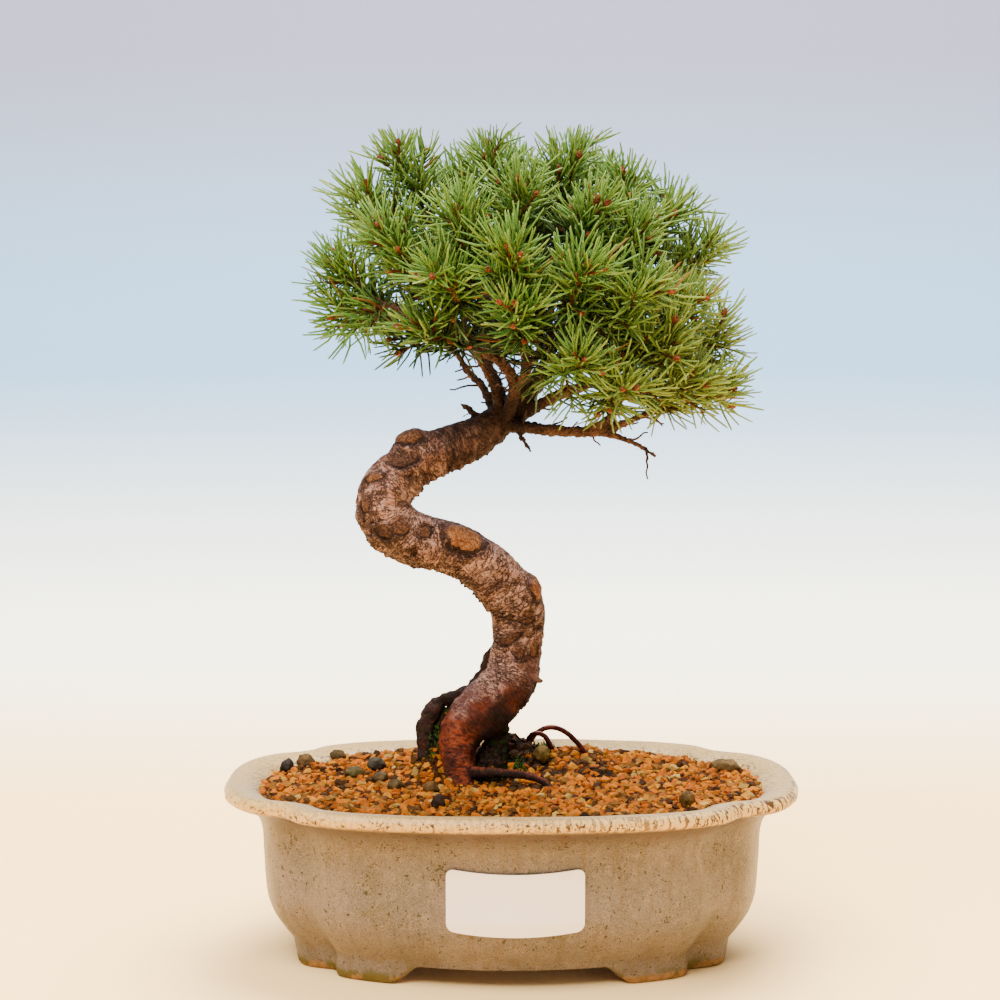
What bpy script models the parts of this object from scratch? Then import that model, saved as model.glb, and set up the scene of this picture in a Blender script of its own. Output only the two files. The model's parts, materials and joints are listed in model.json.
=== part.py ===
# A spruce bonsai in a glazed oval pot.
# The numbers below are millimetres, and add_mesh turns them into metres. +Z is up.
# The origin is on the standing plane, under the middle of the pot. The front looks along -Y.

import math
import random

import bmesh
import bpy
import numpy as np
from mathutils import Vector
from mathutils.geometry import delaunay_2d_cdt

MM = 0.001
GAP = 0.3
UP = Vector((0, 0, 1))

# Pot: outline at the lip, then its wall as steps inwards from the lip's edge with their heights
POT_LENGTH = 180
POT_DEPTH = 109
POT_HEIGHT = 57.2
POT_SIDES = 40
OUTLINE_POWER = 2.6
CREASE_HEIGHTS = (0, 26, 57.2)
CREASE_ANGLES = (math.radians(32), math.radians(39), math.radians(40))
CREASE_DEPTHS = (0.085, 0.04, 0.058)
CREASE_WIDTH = math.radians(8)
CREASE_CROWDING = math.radians(9)
LOBE_BULGE = 4.2
LOBE_WIDTH = 30
UNDERSIDE_Z = 6
FLOOR_Z = 12
SOIL_EDGE_Z = 54.6
OUTSIDE = [(21.8, UNDERSIDE_Z), (19.8, 9.6), (17.6, 12.6), (14.8, 17.4), (13.1, 23.5), (12.5, 34),
           (12.0, 43), (10.2, 47.8), (6.6, 50.9), (2.4, 52.3), (0.3, 53.6), (0, 55.2)]
OVER_LIP = [(1.2, 56.7), (3.8, POT_HEIGHT), (7.6, 56.2)]
INSIDE = [(11.0, SOIL_EDGE_Z), (14.4, 49), (17.2, 38), (20.4, 19), (27, FLOOR_Z)]
FOOT_FROM = math.radians(5)
FOOT_TO = math.radians(72)
FOOT_STEPS = 8
FOOT_END_SLOPE = 7
FOOT_WIDTH = 9
FOOT_TAPER = 1.8
FOOT_LAP = 2
DRAIN_HOLE_X = 32
DRAIN_HOLE_DIAMETER = 12
HOLE_SIDES = 14

# Drain screens: squares with three openings a side
SCREEN_SIZE = 27
SCREEN_BAR = 2.4
SCREEN_OPENINGS = 3
SCREEN_THICKNESS = 1.2

# Soil: distance of the grains, their relief, and heaps as x, y, height, spread in x and in y
GRAIN_SPACING = 5.2
GRAIN_RELIEF = 0.75
GRAIN_SHIFT = 0.8
GRAIN_EDGE = 2.2
CREASE_SPOT = (0.84, 0.74)
CREASE_SPOT_SIZE = 7
CREASE_SPOT_MARGIN = 0.86
HEAPS = [(0, 30, 6, 70, 16), (-24.5, 9, 17, 5, 7), (1, 17, 8.5, 8, 7), (-14, 2, 0.8, 12, 10)]

# Stones: x, y, then length, width and height, turn in degrees
STONES = [(-72.5, 17, 6.5, 4.5, 6.0, 60), (-67, 23, 7.5, 5.5, 5.5, 10), (-57, 29, 6.5, 5, 4.5, -20),
          (-50, 8, 7.5, 6, 5.5, 25), (-43.5, 15, 7, 5.5, 5.5, 0), (-41.5, 2.5, 6.5, 5.5, 5.0, 40),
          (9.8, 15, 6.4, 6, 7.0, 80), (-22.2, -28, 5.5, 5, 6.0, 90), (53, -26, 7, 5.5, 6.5, 70),
          (69.5, 17, 12.5, 7, 5.5, -15), (-36, -7, 6.5, 5.5, 5.0, 20), (-25.2, -9.6, 6.5, 5.5, 4.8, -30)]
STONE_SUNK = 0.36
STONE_POINTS = 14

# Label on the front wall
LABEL_X = 1.0
LABEL_WIDTH = 41
LABEL_LOW = 18.8
LABEL_HIGH = 38.0
LABEL_RISE = 1.8
LABEL_THICKNESS = 0.5
LABEL_OFF_WALL = 0.45
LABEL_CORNER = 2.0

# Tie wire: out of the drain hole, over the roots, and back down
WIRE_RADIUS = 0.85
WIRE_STEP = 8
WIRE_PATH = [(21, 0, 4.6), (27.6, 0, 4.7), (30.2, 0, 8.5), (30.4, 0, 16), (25, 7, 28), (12, 16, 42),
             (5, 20, 53), (5.2, 20.4, 61), (8.6, 21.4, 66), (13.2, 22, 67.6), (18.2, 22.6, 65.6),
             (23.6, 23.8, 59.6), (27, 22, 48), (32, 12, 30), (33.6, 2, 18), (33.8, 0, 8.5),
             (36.4, 0, 4.7), (43, 0, 4.6)]

# Tree wood: x, y, z and radius along each piece
TRUNK = [(-14.6, 4, 29, 11.5), (-15, 3.6, 39, 9.2), (-16.2, 3, 51.5, 6.3), (-16.9, 4, 58.4, 6.0),
         (-17.2, 5, 64, 6.2), (-15.4, 6, 69.5, 6.9), (-10.5, 8, 74.9, 8.1), (-4.5, 10, 80.3, 8.6),
         (0, 12, 86.6, 8.4), (1.4, 13, 93.7, 8.1), (1.6, 13, 101.2, 8.1), (1.1, 11, 109.9, 8.4),
         (-3.5, 8, 117, 8.3), (-10.4, 4, 124.3, 8.1), (-20, 0, 129.8, 8.0), (-28.3, -3, 132, 8.1),
         (-35.3, -5, 135.8, 8.4), (-39.2, -6, 141.4, 8.5), (-38.2, -5, 148.2, 8.4),
         (-31.7, -2, 154.8, 7.8), (-25.2, 0, 158.2, 7.3), (-18.5, 3, 160.7, 6.8),
         (-9.8, 6, 164.2, 6.1), (-3.5, 8, 169.2, 5.0), (-1, 8, 174, 3.2)]
KNEE_ROOT = [(-3, 13, 98, 1.3), (-7.4, 13.4, 92.6, 1.6), (-9.8, 13.8, 86.2, 1.7), (-15.4, 12.6, 81.4, 1.8),
             (-21.1, 11, 79.2, 2.4), (-25.6, 10, 75, 3.3), (-27.4, 9, 69.5, 3.5), (-27.3, 8, 63, 3.2),
             (-26, 8, 55, 3.0), (-25, 8, 44, 2.4), (-24, 9, 34, 1.3)]
FRONT_ROOT = [(-16, 3, 57.5, 2.3), (-9, -1.4, 58.3, 2.1), (-1, -2.4, 58.2, 1.8), (6.5, -3.4, 57.4, 1.6),
              (11.5, -4, 54.6, 1.2), (16, -4.4, 47, 0.8)]
LIMBS = [
    [(-5, 10, 169, 1.7), (-8.6, 15, 177.9, 1.6), (-13.4, 18, 183, 1.4), (-16.6, 20, 188, 1.2),
     (-21, 24, 196, 0.9)],
    [(-3.5, 6, 169, 2.3), (-4.5, 4, 176.9, 2.0), (-7.6, 0, 183.9, 1.6), (-10.4, -4, 189, 1.4),
     (-14, -12, 198, 1.2), (-16, -20, 207, 0.9)],
    [(-2, 5, 168, 2.8), (0.8, -3, 177.5, 2.4), (-0.6, -8, 184, 2.1), (-6.5, -12, 189.8, 1.8),
     (-13.9, -12, 192.2, 1.6), (-21, -11, 194.8, 1.5), (-29, -8, 200.1, 1.3),
     (-37, -5, 204.4, 1.0)],
    [(-1, 7, 170, 2.8), (3.3, 4, 178.5, 2.2), (4.4, 2, 186, 1.9), (3.8, 2, 197, 1.6),
     (4.4, 0, 209.1, 1.4), (5.6, 0, 221.2, 1.2), (5, -1, 231, 0.9)],
    [(-2, 5, 167.5, 3.0), (5, -2, 166.9, 2.4), (14, -6, 166.2, 2.1), (25.2, -10, 166.2, 1.9),
     (32, -12, 168, 1.5), (40, -13, 171.4, 1.3), (50, -13, 173.4, 1.0)],
    [(25, -10, 166.2, 1.6), (30.4, -12, 165.2, 1.2), (37.6, -14, 162.7, 1.0), (43.5, -16, 159.1, 0.8)],
    [(22, -9, 166, 1.6), (29.4, -13, 170.4, 1.6), (32.4, -16, 176.5, 1.4), (33.6, -20, 184, 1.1)],
    [(-1, 7, 169, 2.6), (7, 4, 178, 2.2), (15, 4, 187, 1.9), (25, 4, 198, 1.6), (36, 4, 209, 1.3),
     (43, 3, 216, 0.9)],
    [(0, 6, 168.5, 2.6), (12, 0, 175.5, 2.1), (25, -2, 181, 1.8), (38, 0, 187.5, 1.4),
     (48, 2, 192, 1.0)],
    [(-2, 8, 169, 2.4), (-5, 16, 181, 2.0), (-13, 23, 192, 1.7), (-21, 27, 204, 1.3),
     (-26, 29, 214, 0.9)],
    [(-1, 9, 169, 2.4), (7, 18, 181, 2.0), (15, 25, 192, 1.7), (24, 29, 204, 1.3), (29, 31, 214, 0.9)],
    [(4, 2, 190, 1.6), (-5, 1, 203, 1.6), (-15, -1, 215, 1.4), (-24, -2, 227, 1.0)],
    [(1, -4, 178.5, 1.8), (6, -14, 187, 1.6), (12, -23, 196, 1.3), (16, -29, 203, 1.0)],
]
DEAD_STUBS = [[(-8, 7, 167, 1.4), (-13.6, 6, 172.4, 1.2), (-15.6, 5, 173.4, 0.8)],
              [(-6, 4, 169, 0.7), (-11, 2, 171.4, 0.6), (-16, 1, 169.8, 0.5)],
              [(1, 2, 167, 1.1), (3.4, -3, 163.4, 0.9), (6, -5, 159.6, 0.8)],
              [(4, 12, 86, 1.8), (8, 9.6, 85.8, 1.4), (9.8, 8.9, 85.4, 0.9)]]
# Knobs and branch scars on the trunk: where, which way they look, radius and how far they stand out
KNOBS = [((-31.4, -1, 156), (-0.3, 0, 1), 5.0, 9.0), ((-0.6, 9.5, 115), (0.9, -0.45, 0.1), 4.4, 9.3),
         ((-15.5, 1.5, 127.5), (0.1, -1, 0.62), 7.0, 8.9), ((-38, -4, 150), (-0.4, -0.8, 0.5), 3.4, 9.1),
         ((-33, -4, 136), (0.1, -1, -0.1), 3.6, 8.9)]
KNOB_DEPTH = 5
KNOB_TOP = 0.7

# Crown: leafy masses as centre and half sizes to the shoot tips, and the shoot tips seen from the front
CROWN_HUB = Vector((6, 3, 200))
CROWN_MASSES = [((4, 1, 214), (56, 43, 37)), ((42, -1, 193), (26, 36, 24)), ((-33, 2, 220), (22, 33, 21))]
FRONT_TIPS = [(-34.7, 0, 248), (-7, -4, 249.5), (18.7, -2, 249.5), (35.8, -2, 239.8),
              (49.8, -2, 232.5), (60.2, -2, 221.6), (-46, -4, 236), (-54.5, -2, 215), (-43, -6, 205),
              (-27, -25, 198), (-22, -38, 214), (-15.5, -30, 230), (2, -24, 238), (24, -24, 232),
              (38, -20, 226), (-1, -43, 219), (1, -44, 203), (20.8, -44, 214), (38, -41, 209),
              (20, -43, 188), (53, -26, 205), (46, -32, 192), (62.5, -10, 194), (55, -26, 180),
              (64, -9, 178), (34, -38, 180)]
TIP_SPACING = 20.5
TIP_TRIES = 160
LOWEST_LOOK = -0.34
SPRAY_COUNT = 41
CROWN_DEPTH_LIMIT = 44

# Leafy shoots and their needles
LEADER_LENGTH = 16
LEADER_ROWS = 5
LEADER_SIDES = 5
LEADER_RADII = (1.15, 0.75)
SIDE_SHOOTS = 2
SIDE_LENGTH = 10
SIDE_ROWS = 4
SIDE_RADII = (0.75, 0.55)
SIDE_FROM = 0.1
SIDE_TO = 0.6
SIDE_LEAN = math.radians(54)
BUD_LENGTH = 2.2
LEADER_ROOM = 0.9
LIMB_OWNER = -1
LEADER_TRIES = 60
LEADER_SHAKE = 0.015
LEADER_OVERLAP = 2
SIDE_TRIES = 12
SIDE_ROOM = 0.9
STEM_RISE = 0.05
SIDE_OWNER = 1000
NEEDLE_OWNER = 5000
TWIG_STEP = 12
TWIG_ROOM = 1.3
TWIG_WIDEST = 1.25
TWIG_CHOICES = 80
SMALL_WOOD_STEP = 5
CUT_BELOW = 99
TWIG_TIP_RADIUS = 0.7
NEEDLE_LENGTH = 10.5
NEEDLE_LEAN = math.radians(62)
NEEDLE_LEAN_TIP = math.radians(20)
NEEDLE_TRIES = 6
NEEDLE_RADIUS = 0.85
NEEDLE_TIP_RADIUS = 0.06
CLEARANCE = 0.2
SEED = 11


def clear_scene():
    for obj in list(bpy.data.objects):
        bpy.data.objects.remove(obj, do_unlink=True)


def make_material(name, colour, roughness, metallic=0.0):
    material = bpy.data.materials.new(name)
    material.use_nodes = True
    shader = material.node_tree.nodes["Principled BSDF"]
    shader.inputs["Base Color"].default_value = (*colour, 1)
    shader.inputs["Roughness"].default_value = roughness
    shader.inputs["Metallic"].default_value = metallic
    material.diffuse_color = (*colour, 1)
    return material


def add_mesh(name, verts, faces, material=None):
    # A closed mesh from millimetres, with its faces turned outwards
    mesh = bpy.data.meshes.new(name)
    bm = bmesh.new()
    points = [bm.verts.new(Vector(v) * MM) for v in verts]
    for face in faces:
        bm.faces.new([points[i] for i in face])
    bmesh.ops.recalc_face_normals(bm, faces=bm.faces)
    bm.to_mesh(mesh)
    bm.free()
    if material:
        mesh.materials.append(material)
    obj = bpy.data.objects.new(name, mesh)
    bpy.context.scene.collection.objects.link(obj)
    return obj


def shade(obj, degrees):
    obj.data.shade_smooth()
    obj.data.set_sharp_from_angle(angle=math.radians(degrees))


def combine(obj, others, operation):
    # One Boolean of obj with all the others, applied, and the others removed
    group = bpy.data.collections.new(obj.name + "_tools")
    for other in others:
        group.objects.link(other)
    boolean = obj.modifiers.new("combine", "BOOLEAN")
    boolean.operation = operation
    boolean.operand_type = "COLLECTION"
    boolean.collection = group
    boolean.solver = "EXACT"
    depsgraph = bpy.context.evaluated_depsgraph_get()
    mesh = bpy.data.meshes.new_from_object(obj.evaluated_get(depsgraph))
    obj.modifiers.remove(boolean)
    old = obj.data
    obj.data = mesh
    mesh.name = obj.name
    bpy.data.meshes.remove(old)
    for other in others:
        bpy.data.objects.remove(other, do_unlink=True)
    bpy.data.collections.remove(group)


def tidy(obj, merge=0.01):
    # Merge what the Boolean left closer than merge, and keep the largest connected body
    bm = bmesh.new()
    bm.from_mesh(obj.data)
    bmesh.ops.triangulate(bm, faces=bm.faces)
    bmesh.ops.remove_doubles(bm, verts=bm.verts, dist=merge * MM)
    bmesh.ops.dissolve_degenerate(bm, edges=bm.edges, dist=merge * MM * 0.5)
    bmesh.ops.triangulate(bm, faces=bm.faces)
    left = set(bm.verts)
    bodies = []
    while left:
        body = [left.pop()]
        for vert in body:
            near = [e.other_vert(vert) for e in vert.link_edges]
            fresh = [v for v in near if v in left]
            left.difference_update(fresh)
            body.extend(fresh)
        bodies.append(body)
    bodies.sort(key=len)
    for scrap in bodies[:-1]:
        bmesh.ops.delete(bm, geom=scrap, context="VERTS")
    bm.to_mesh(obj.data)
    bm.free()
    return len(bodies) - 1


def smooth_path(points, step):
    # Points at about equal steps on a Catmull-Rom curve; works on x, y, z and radius alike
    rows = [np.array(p, dtype=float) for p in points]
    rows = [2 * rows[0] - rows[1]] + rows + [2 * rows[-1] - rows[-2]]
    path = []
    for a, b, c, d in zip(rows, rows[1:], rows[2:], rows[3:]):
        count = max(1, round(np.linalg.norm((c - b)[:3]) / step))
        for i in range(count):
            t = i / count
            path.append(0.5 * (2 * b + (c - a) * t + (2 * a - 5 * b + 4 * c - d) * t * t
                               + (3 * b - a - 3 * c + d) * t ** 3))
    path.append(rows[-2])
    return path


def tube(path, sides, grow=0.0, relief=None, tip=0.6):
    # A tube along rows of x, y, z, radius, with a pointed cap on each end
    centres = [Vector(row[:3]) for row in path]
    verts = []
    faces = []
    side = None
    count = len(centres)
    for k, centre in enumerate(centres):
        axis = (centres[min(k + 1, count - 1)] - centres[max(k - 1, 0)]).normalized()
        side = (axis.orthogonal() if side is None else side - axis * side.dot(axis)).normalized()
        other = axis.cross(side)
        for i in range(sides):
            angle = math.tau * i / sides
            radius = path[k][3] * (1 + (relief(k, angle) if relief else 0)) + grow
            verts.append(centre + (side * math.cos(angle) + other * math.sin(angle)) * radius)
        if k:
            low = (k - 1) * sides
            for i in range(sides):
                j = (i + 1) % sides
                faces.append((low + i, low + j, low + sides + j, low + sides + i))
    ends = ((0, centres[0] - centres[1], 0), (count - 1, centres[-1] - centres[-2], (count - 1) * sides))
    for k, outwards, low in ends:
        verts.append(centres[k] + outwards.normalized() * (path[k][3] * tip + grow))
        for i in range(sides):
            faces.append((low + i, low + (i + 1) % sides, len(verts) - 1))
    return verts, faces


def outline_point(angle, inset, height):
    # A point of the pot's lobed outline, inset millimetres in from the lip's edge. The front and
    # back walls bulge more the lower they are, and the creases wander as they go down.
    cos, sin = math.cos(angle), math.sin(angle)
    x = (POT_LENGTH / 2 - inset) * math.copysign(abs(cos) ** (2 / OUTLINE_POWER), cos)
    y = (POT_DEPTH / 2 - inset) * math.copysign(abs(sin) ** (2 / OUTLINE_POWER), sin)
    y += math.copysign(lobe_bulge(x, height), y)
    turn = math.atan2(abs(sin), abs(cos)) - np.interp(height, CREASE_HEIGHTS, CREASE_ANGLES)
    dent = 1 - np.interp(height, CREASE_HEIGHTS, CREASE_DEPTHS) * math.exp(-(turn / CREASE_WIDTH) ** 2)
    return x * dent, y * dent, height


def lobe_bulge(x, height):
    return LOBE_BULGE * max(0, 1 - height / POT_HEIGHT) * math.exp(-(x / LOBE_WIDTH) ** 2)


def ring_angle(i):
    # Angles round the outline, closer together at the creases
    turns, step = divmod(i, POT_SIDES // 4)
    part = (step + 0.5) / (POT_SIDES // 4)
    if turns % 2:
        part = 1 - part
    middle = CREASE_ANGLES[1] / (math.pi / 2)
    wave = math.sin(math.tau * (part - middle)) + math.sin(math.tau * middle)
    angle = math.pi / 2 * part - CREASE_CROWDING * wave
    return turns * math.pi / 2 + (math.pi / 2 - angle if turns % 2 else angle)


def outline_ring(inset, height):
    return [outline_point(ring_angle(i), inset, height) for i in range(POT_SIDES)]


def loft(rings):
    verts = [v for ring in rings for v in ring]
    size = len(rings[0])
    faces = [tuple(range(size)), tuple(range(len(verts) - size, len(verts)))]
    for k in range(len(rings) - 1):
        for i in range(size):
            j = (i + 1) % size
            faces.append((k * size + i, k * size + j, (k + 1) * size + j, (k + 1) * size + i))
    return verts, faces


def wall_inset(height):
    # How far the outside of the wall is in from the lip's edge at a height
    for (inset_a, a), (inset_b, b) in zip(OUTSIDE, OUTSIDE[1:]):
        if a <= height <= b:
            return inset_a + (inset_b - inset_a) * (height - a) / (b - a)
    return OUTSIDE[0][0]


def foot_section(angle, drop):
    # Four corners of a foot's section; drop 1 reaches the standing plane, 0 stays in the floor
    top = UNDERSIDE_Z + FOOT_LAP
    low = (UNDERSIDE_Z + FOOT_LAP / 2) * (1 - drop)
    outer = wall_inset(top)
    corners = ((outer + 0.5, top), (outer + FOOT_TAPER, low), (outer + FOOT_WIDTH, low),
               (outer + FOOT_WIDTH, top))
    return [outline_point(angle, inset, height) for inset, height in corners]


def add_foot(sign_x, sign_y):
    rings = []
    for k in range(FOOT_STEPS):
        part = k / (FOOT_STEPS - 1)
        drop = min(1, FOOT_END_SLOPE * min(part, 1 - part))
        ring = foot_section(FOOT_FROM + (FOOT_TO - FOOT_FROM) * part, drop)
        rings.append([(x * sign_x, y * sign_y, z) for x, y, z in ring])
    return add_mesh("foot", *loft(rings))


def add_drain_hole(x):
    radius = DRAIN_HOLE_DIAMETER / 2
    ring = [(x + radius * math.cos(math.tau * i / HOLE_SIDES), radius * math.sin(math.tau * i / HOLE_SIDES))
            for i in range(HOLE_SIDES)]
    return add_mesh("drain", *loft([[(*p, 0) for p in ring], [(*p, FLOOR_Z + 8) for p in ring]]))


def build_pot():
    glaze = make_material("pot_glaze", (0.60, 0.53, 0.43), 0.38)
    rings = [outline_ring(inset, z) for inset, z in OUTSIDE + OVER_LIP + INSIDE]
    pot = add_mesh("pot", *loft(rings), glaze)
    feet = [add_foot(x, y) for x in (-1, 1) for y in (-1, 1)]
    combine(pot, feet, "UNION")
    combine(pot, [add_drain_hole(x) for x in (-DRAIN_HOLE_X, DRAIN_HOLE_X)], "DIFFERENCE")
    tidy(pot)
    shade(pot, 40)


def build_screen(name, centre_x):
    # A square mesh made directly as a grid with its openings left out
    material = make_material("black_plastic", (0.02, 0.02, 0.02), 0.6)
    opening = (SCREEN_SIZE - SCREEN_BAR * (SCREEN_OPENINGS + 1)) / SCREEN_OPENINGS
    steps = [0]
    for i in range(2 * SCREEN_OPENINGS + 1):
        steps.append(steps[-1] + (opening if i % 2 else SCREEN_BAR))
    count = len(steps)
    low = FLOOR_Z + GAP
    verts = []
    for z in (low, low + SCREEN_THICKNESS):
        for y in steps:
            for x in steps:
                verts.append((centre_x + x - SCREEN_SIZE / 2, y - SCREEN_SIZE / 2, z))

    def solid(i, j):
        inside = 0 <= i < count - 1 and 0 <= j < count - 1
        return inside and not (i % 2 and j % 2)

    def corner(i, j, level):
        return level * count * count + j * count + i

    faces = []
    for i in range(-1, count):
        for j in range(-1, count):
            if solid(i, j):
                for level in (0, 1):
                    faces.append((corner(i, j, level), corner(i + 1, j, level),
                                  corner(i + 1, j + 1, level), corner(i, j + 1, level)))
            if solid(i, j) != solid(i + 1, j):
                faces.append((corner(i + 1, j, 0), corner(i + 1, j + 1, 0),
                              corner(i + 1, j + 1, 1), corner(i + 1, j, 1)))
            if solid(i, j) != solid(i, j + 1):
                faces.append((corner(i, j + 1, 0), corner(i + 1, j + 1, 0),
                              corner(i + 1, j + 1, 1), corner(i, j + 1, 1)))
    return add_mesh(name, verts, faces, material)


def soil_height(x, y):
    # The soil's smooth surface: level at the rim, heaped round the roots
    a = POT_LENGTH / 2 - INSIDE[0][0]
    b = POT_DEPTH / 2 - INSIDE[0][0]
    edge = abs(x / a) ** OUTLINE_POWER + abs(y / b) ** OUTLINE_POWER
    rise = 0
    for cx, cy, height, wide, deep in HEAPS:
        rise += height * math.exp(-((x - cx) / wide) ** 2 - ((y - cy) / deep) ** 2)
    return SOIL_EDGE_Z + rise * (1 - min(1, edge) ** 2)


def build_soil(cutters):
    baked_clay = make_material("soil_grains", (0.45, 0.21, 0.07), 0.9)
    rng = random.Random(SEED)
    levels = [(inset + GAP * 1.3, z) for inset, z in reversed(INSIDE)]
    levels[0] = (levels[0][0] - 0.4, FLOOR_Z + GAP)
    rings = [outline_ring(inset, z) for inset, z in levels]
    edge = rings[-1]
    inner = []
    row_height = GRAIN_SPACING * math.sqrt(3) / 2
    limit_x = POT_LENGTH / 2 - INSIDE[0][0] - GRAIN_EDGE
    limit_y = POT_DEPTH / 2 - INSIDE[0][0] - GRAIN_EDGE
    for j in range(-int(POT_DEPTH / row_height), int(POT_DEPTH / row_height) + 1):
        for i in range(-int(POT_LENGTH / GRAIN_SPACING), int(POT_LENGTH / GRAIN_SPACING) + 1):
            x = (i + 0.5 * (j % 2)) * GRAIN_SPACING + rng.uniform(-GRAIN_SHIFT, GRAIN_SHIFT)
            y = j * row_height + rng.uniform(-GRAIN_SHIFT, GRAIN_SHIFT)
            lift = rng.uniform(-GRAIN_RELIEF, GRAIN_RELIEF)
            from_crease = math.hypot(abs(x) - CREASE_SPOT[0] * limit_x, abs(y) - CREASE_SPOT[1] * limit_y)
            margin = CREASE_SPOT_MARGIN if from_crease < CREASE_SPOT_SIZE else 1
            if abs(x / limit_x) ** OUTLINE_POWER + abs(y / limit_y) ** OUTLINE_POWER < margin:
                inner.append((x, y, soil_height(x, y) + lift))
    flat = [Vector(v[:2]) for v in edge] + [Vector(v[:2]) for v in inner]
    border = list(range(POT_SIDES))
    top = delaunay_2d_cdt(flat, [], [border], 1, 1e-5)
    top_verts, top_faces, origins = top[0], top[2], top[3]
    verts, faces = loft(rings)
    faces.pop(1)
    base = len(verts) - POT_SIDES
    place = {}
    for k in range(len(top_verts)):
        source = min(origins[k])
        if source < POT_SIDES:
            place[k] = base + source
        else:
            place[k] = len(verts)
            verts.append(inner[source - POT_SIDES])
    faces += [tuple(place[k] for k in face) for face in top_faces]
    soil = add_mesh("soil", verts, faces, baked_clay)
    combine(soil, cutters, "DIFFERENCE")
    scraps = tidy(soil)
    print("soil scraps dropped", scraps)


def stone_lump(rng, length, width, height, turn, grow):
    # The hull of points scattered on a rounded box, turned about +Z
    points = []
    for k in range(STONE_POINTS):
        z = 1 - 2 * (k + 0.5) / STONE_POINTS
        angle = k * math.pi * (3 - math.sqrt(5)) + rng.uniform(-0.25, 0.25)
        flat = math.sqrt(1 - z * z)
        size = rng.uniform(0.86, 1.06)
        x = math.cos(angle) * flat * (length / 2 * size + grow)
        y = math.sin(angle) * flat * (width / 2 * size + grow)
        c, s = math.cos(math.radians(turn)), math.sin(math.radians(turn))
        points.append((x * c - y * s, x * s + y * c, z * (height / 2 * size + grow)))
    bm = bmesh.new()
    for p in points:
        bm.verts.new(p)
    hull = bmesh.ops.convex_hull(bm, input=bm.verts)
    bmesh.ops.delete(bm, geom=hull["geom_interior"], context="VERTS")
    bm.verts.index_update()
    verts = [tuple(v.co) for v in bm.verts]
    faces = [tuple(v.index for v in f.verts) for f in bm.faces]
    bm.free()
    return verts, faces


def build_stone(number, grow=0.0):
    x, y, length, width, height, turn = STONES[number - 1]
    verts, faces = stone_lump(random.Random(SEED + number), length, width, height, turn, grow)
    centre = Vector((x, y, soil_height(x, y) + height * (0.5 - STONE_SUNK)))
    verts = [Vector(v) + centre for v in verts]
    if grow:
        return add_mesh("stone_cutter", verts, faces)
    grey = 0.06 + 0.05 * ((number * 3) % 4)
    material = make_material(f"stone_{number:02d}", (grey, grey * 0.92, grey * 0.78), 0.8)
    return add_mesh(f"stone_{number:02d}", verts, faces, material)


def build_label():
    paper = make_material("label_paper", (0.86, 0.83, 0.82), 0.6)
    columns = [-1, -0.9, -0.3, 0.3, 0.9, 1]
    rows = [0, 0.1, 0.45, 0.9, 1]
    verts = []
    for out in (LABEL_OFF_WALL, LABEL_OFF_WALL + LABEL_THICKNESS):
        for row in rows:
            for column in columns:
                at_corner = abs(column) == 1 and row in (0, 1)
                pull = 1 - (LABEL_CORNER * 0.45 / LABEL_WIDTH if at_corner else 0)
                x = LABEL_X + column * LABEL_WIDTH / 2 * pull
                trim = LABEL_CORNER * 0.3 * (1 - 2 * row) if at_corner else 0
                z = LABEL_LOW + (LABEL_HIGH - LABEL_LOW) * row + trim + LABEL_RISE * column ** 2
                inset = wall_inset(z)
                a, b = POT_LENGTH / 2 - inset, POT_DEPTH / 2 - inset
                wall = b * (1 - abs(x / a) ** OUTLINE_POWER) ** (1 / OUTLINE_POWER)
                y = -wall - lobe_bulge(x, z) - out
                verts.append((x, y, z))
    wide, high = len(columns), len(rows)
    size = wide * high
    faces = []
    for j in range(high - 1):
        for i in range(wide - 1):
            for low in (0, size):
                a = low + j * wide + i
                faces.append((a, a + 1, a + wide + 1, a + wide))
    rim = [i for i in range(wide)] + [j * wide + wide - 1 for j in range(1, high)]
    rim += [(high - 1) * wide + i for i in range(wide - 2, -1, -1)]
    rim += [j * wide for j in range(high - 2, 0, -1)]
    for a, b in zip(rim, rim[1:] + rim[:1]):
        faces.append((a, b, b + size, a + size))
    add_mesh("label", verts, faces, paper)


def build_wire():
    brown = make_material("brown_wire", (0.16, 0.05, 0.035), 0.35, 0.6)
    path = smooth_path([(*p, WIRE_RADIUS) for p in WIRE_PATH], WIRE_STEP)
    wire = add_mesh("tie_wire", *tube(path, 5), brown)
    shade(wire, 60)


def bark_relief(k, angle):
    # Low lengthwise flutes and lumps that turn slowly up the trunk
    return 0.035 * math.sin(3 * angle + 0.31 * k) + 0.03 * math.sin(5 * angle - 0.53 * k) \
        + 0.03 * math.sin(0.9 * k)


def wood_tubes(grow=0.0, below=None):
    # All hand-placed wood as closed tubes; with below, only what lies in or near the soil
    pieces = [(TRUNK, 6, 10, bark_relief), (KNEE_ROOT, 5.5, 6, None), (FRONT_ROOT, 6, 6, None)]
    if below is None:
        pieces += [(limb, 10.5, 5, None) for limb in LIMBS]
        pieces += [(stub, 9, 5, None) for stub in DEAD_STUBS]
    tubes = []
    for points, step, sides, relief in pieces:
        path = smooth_path(points, step)
        if below is not None:
            path = [row for k, row in enumerate(path) if path[max(0, k - 1)][2] < below]
        tubes.append(tube(path, sides, grow, relief))
    return tubes


def add_knobs():
    knobs = []
    for centre, looks, radius, reach in KNOBS:
        axis = Vector(looks).normalized()
        start = Vector(centre) + axis * (reach - KNOB_DEPTH)
        shoulder = start + axis * KNOB_DEPTH * 0.7
        top = start + axis * KNOB_DEPTH
        path = [(*start, radius), (*shoulder, radius), (*top, radius * KNOB_TOP)]
        knobs.append(add_mesh("knob", *tube(path, 7, tip=0.05)))
    return knobs


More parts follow.
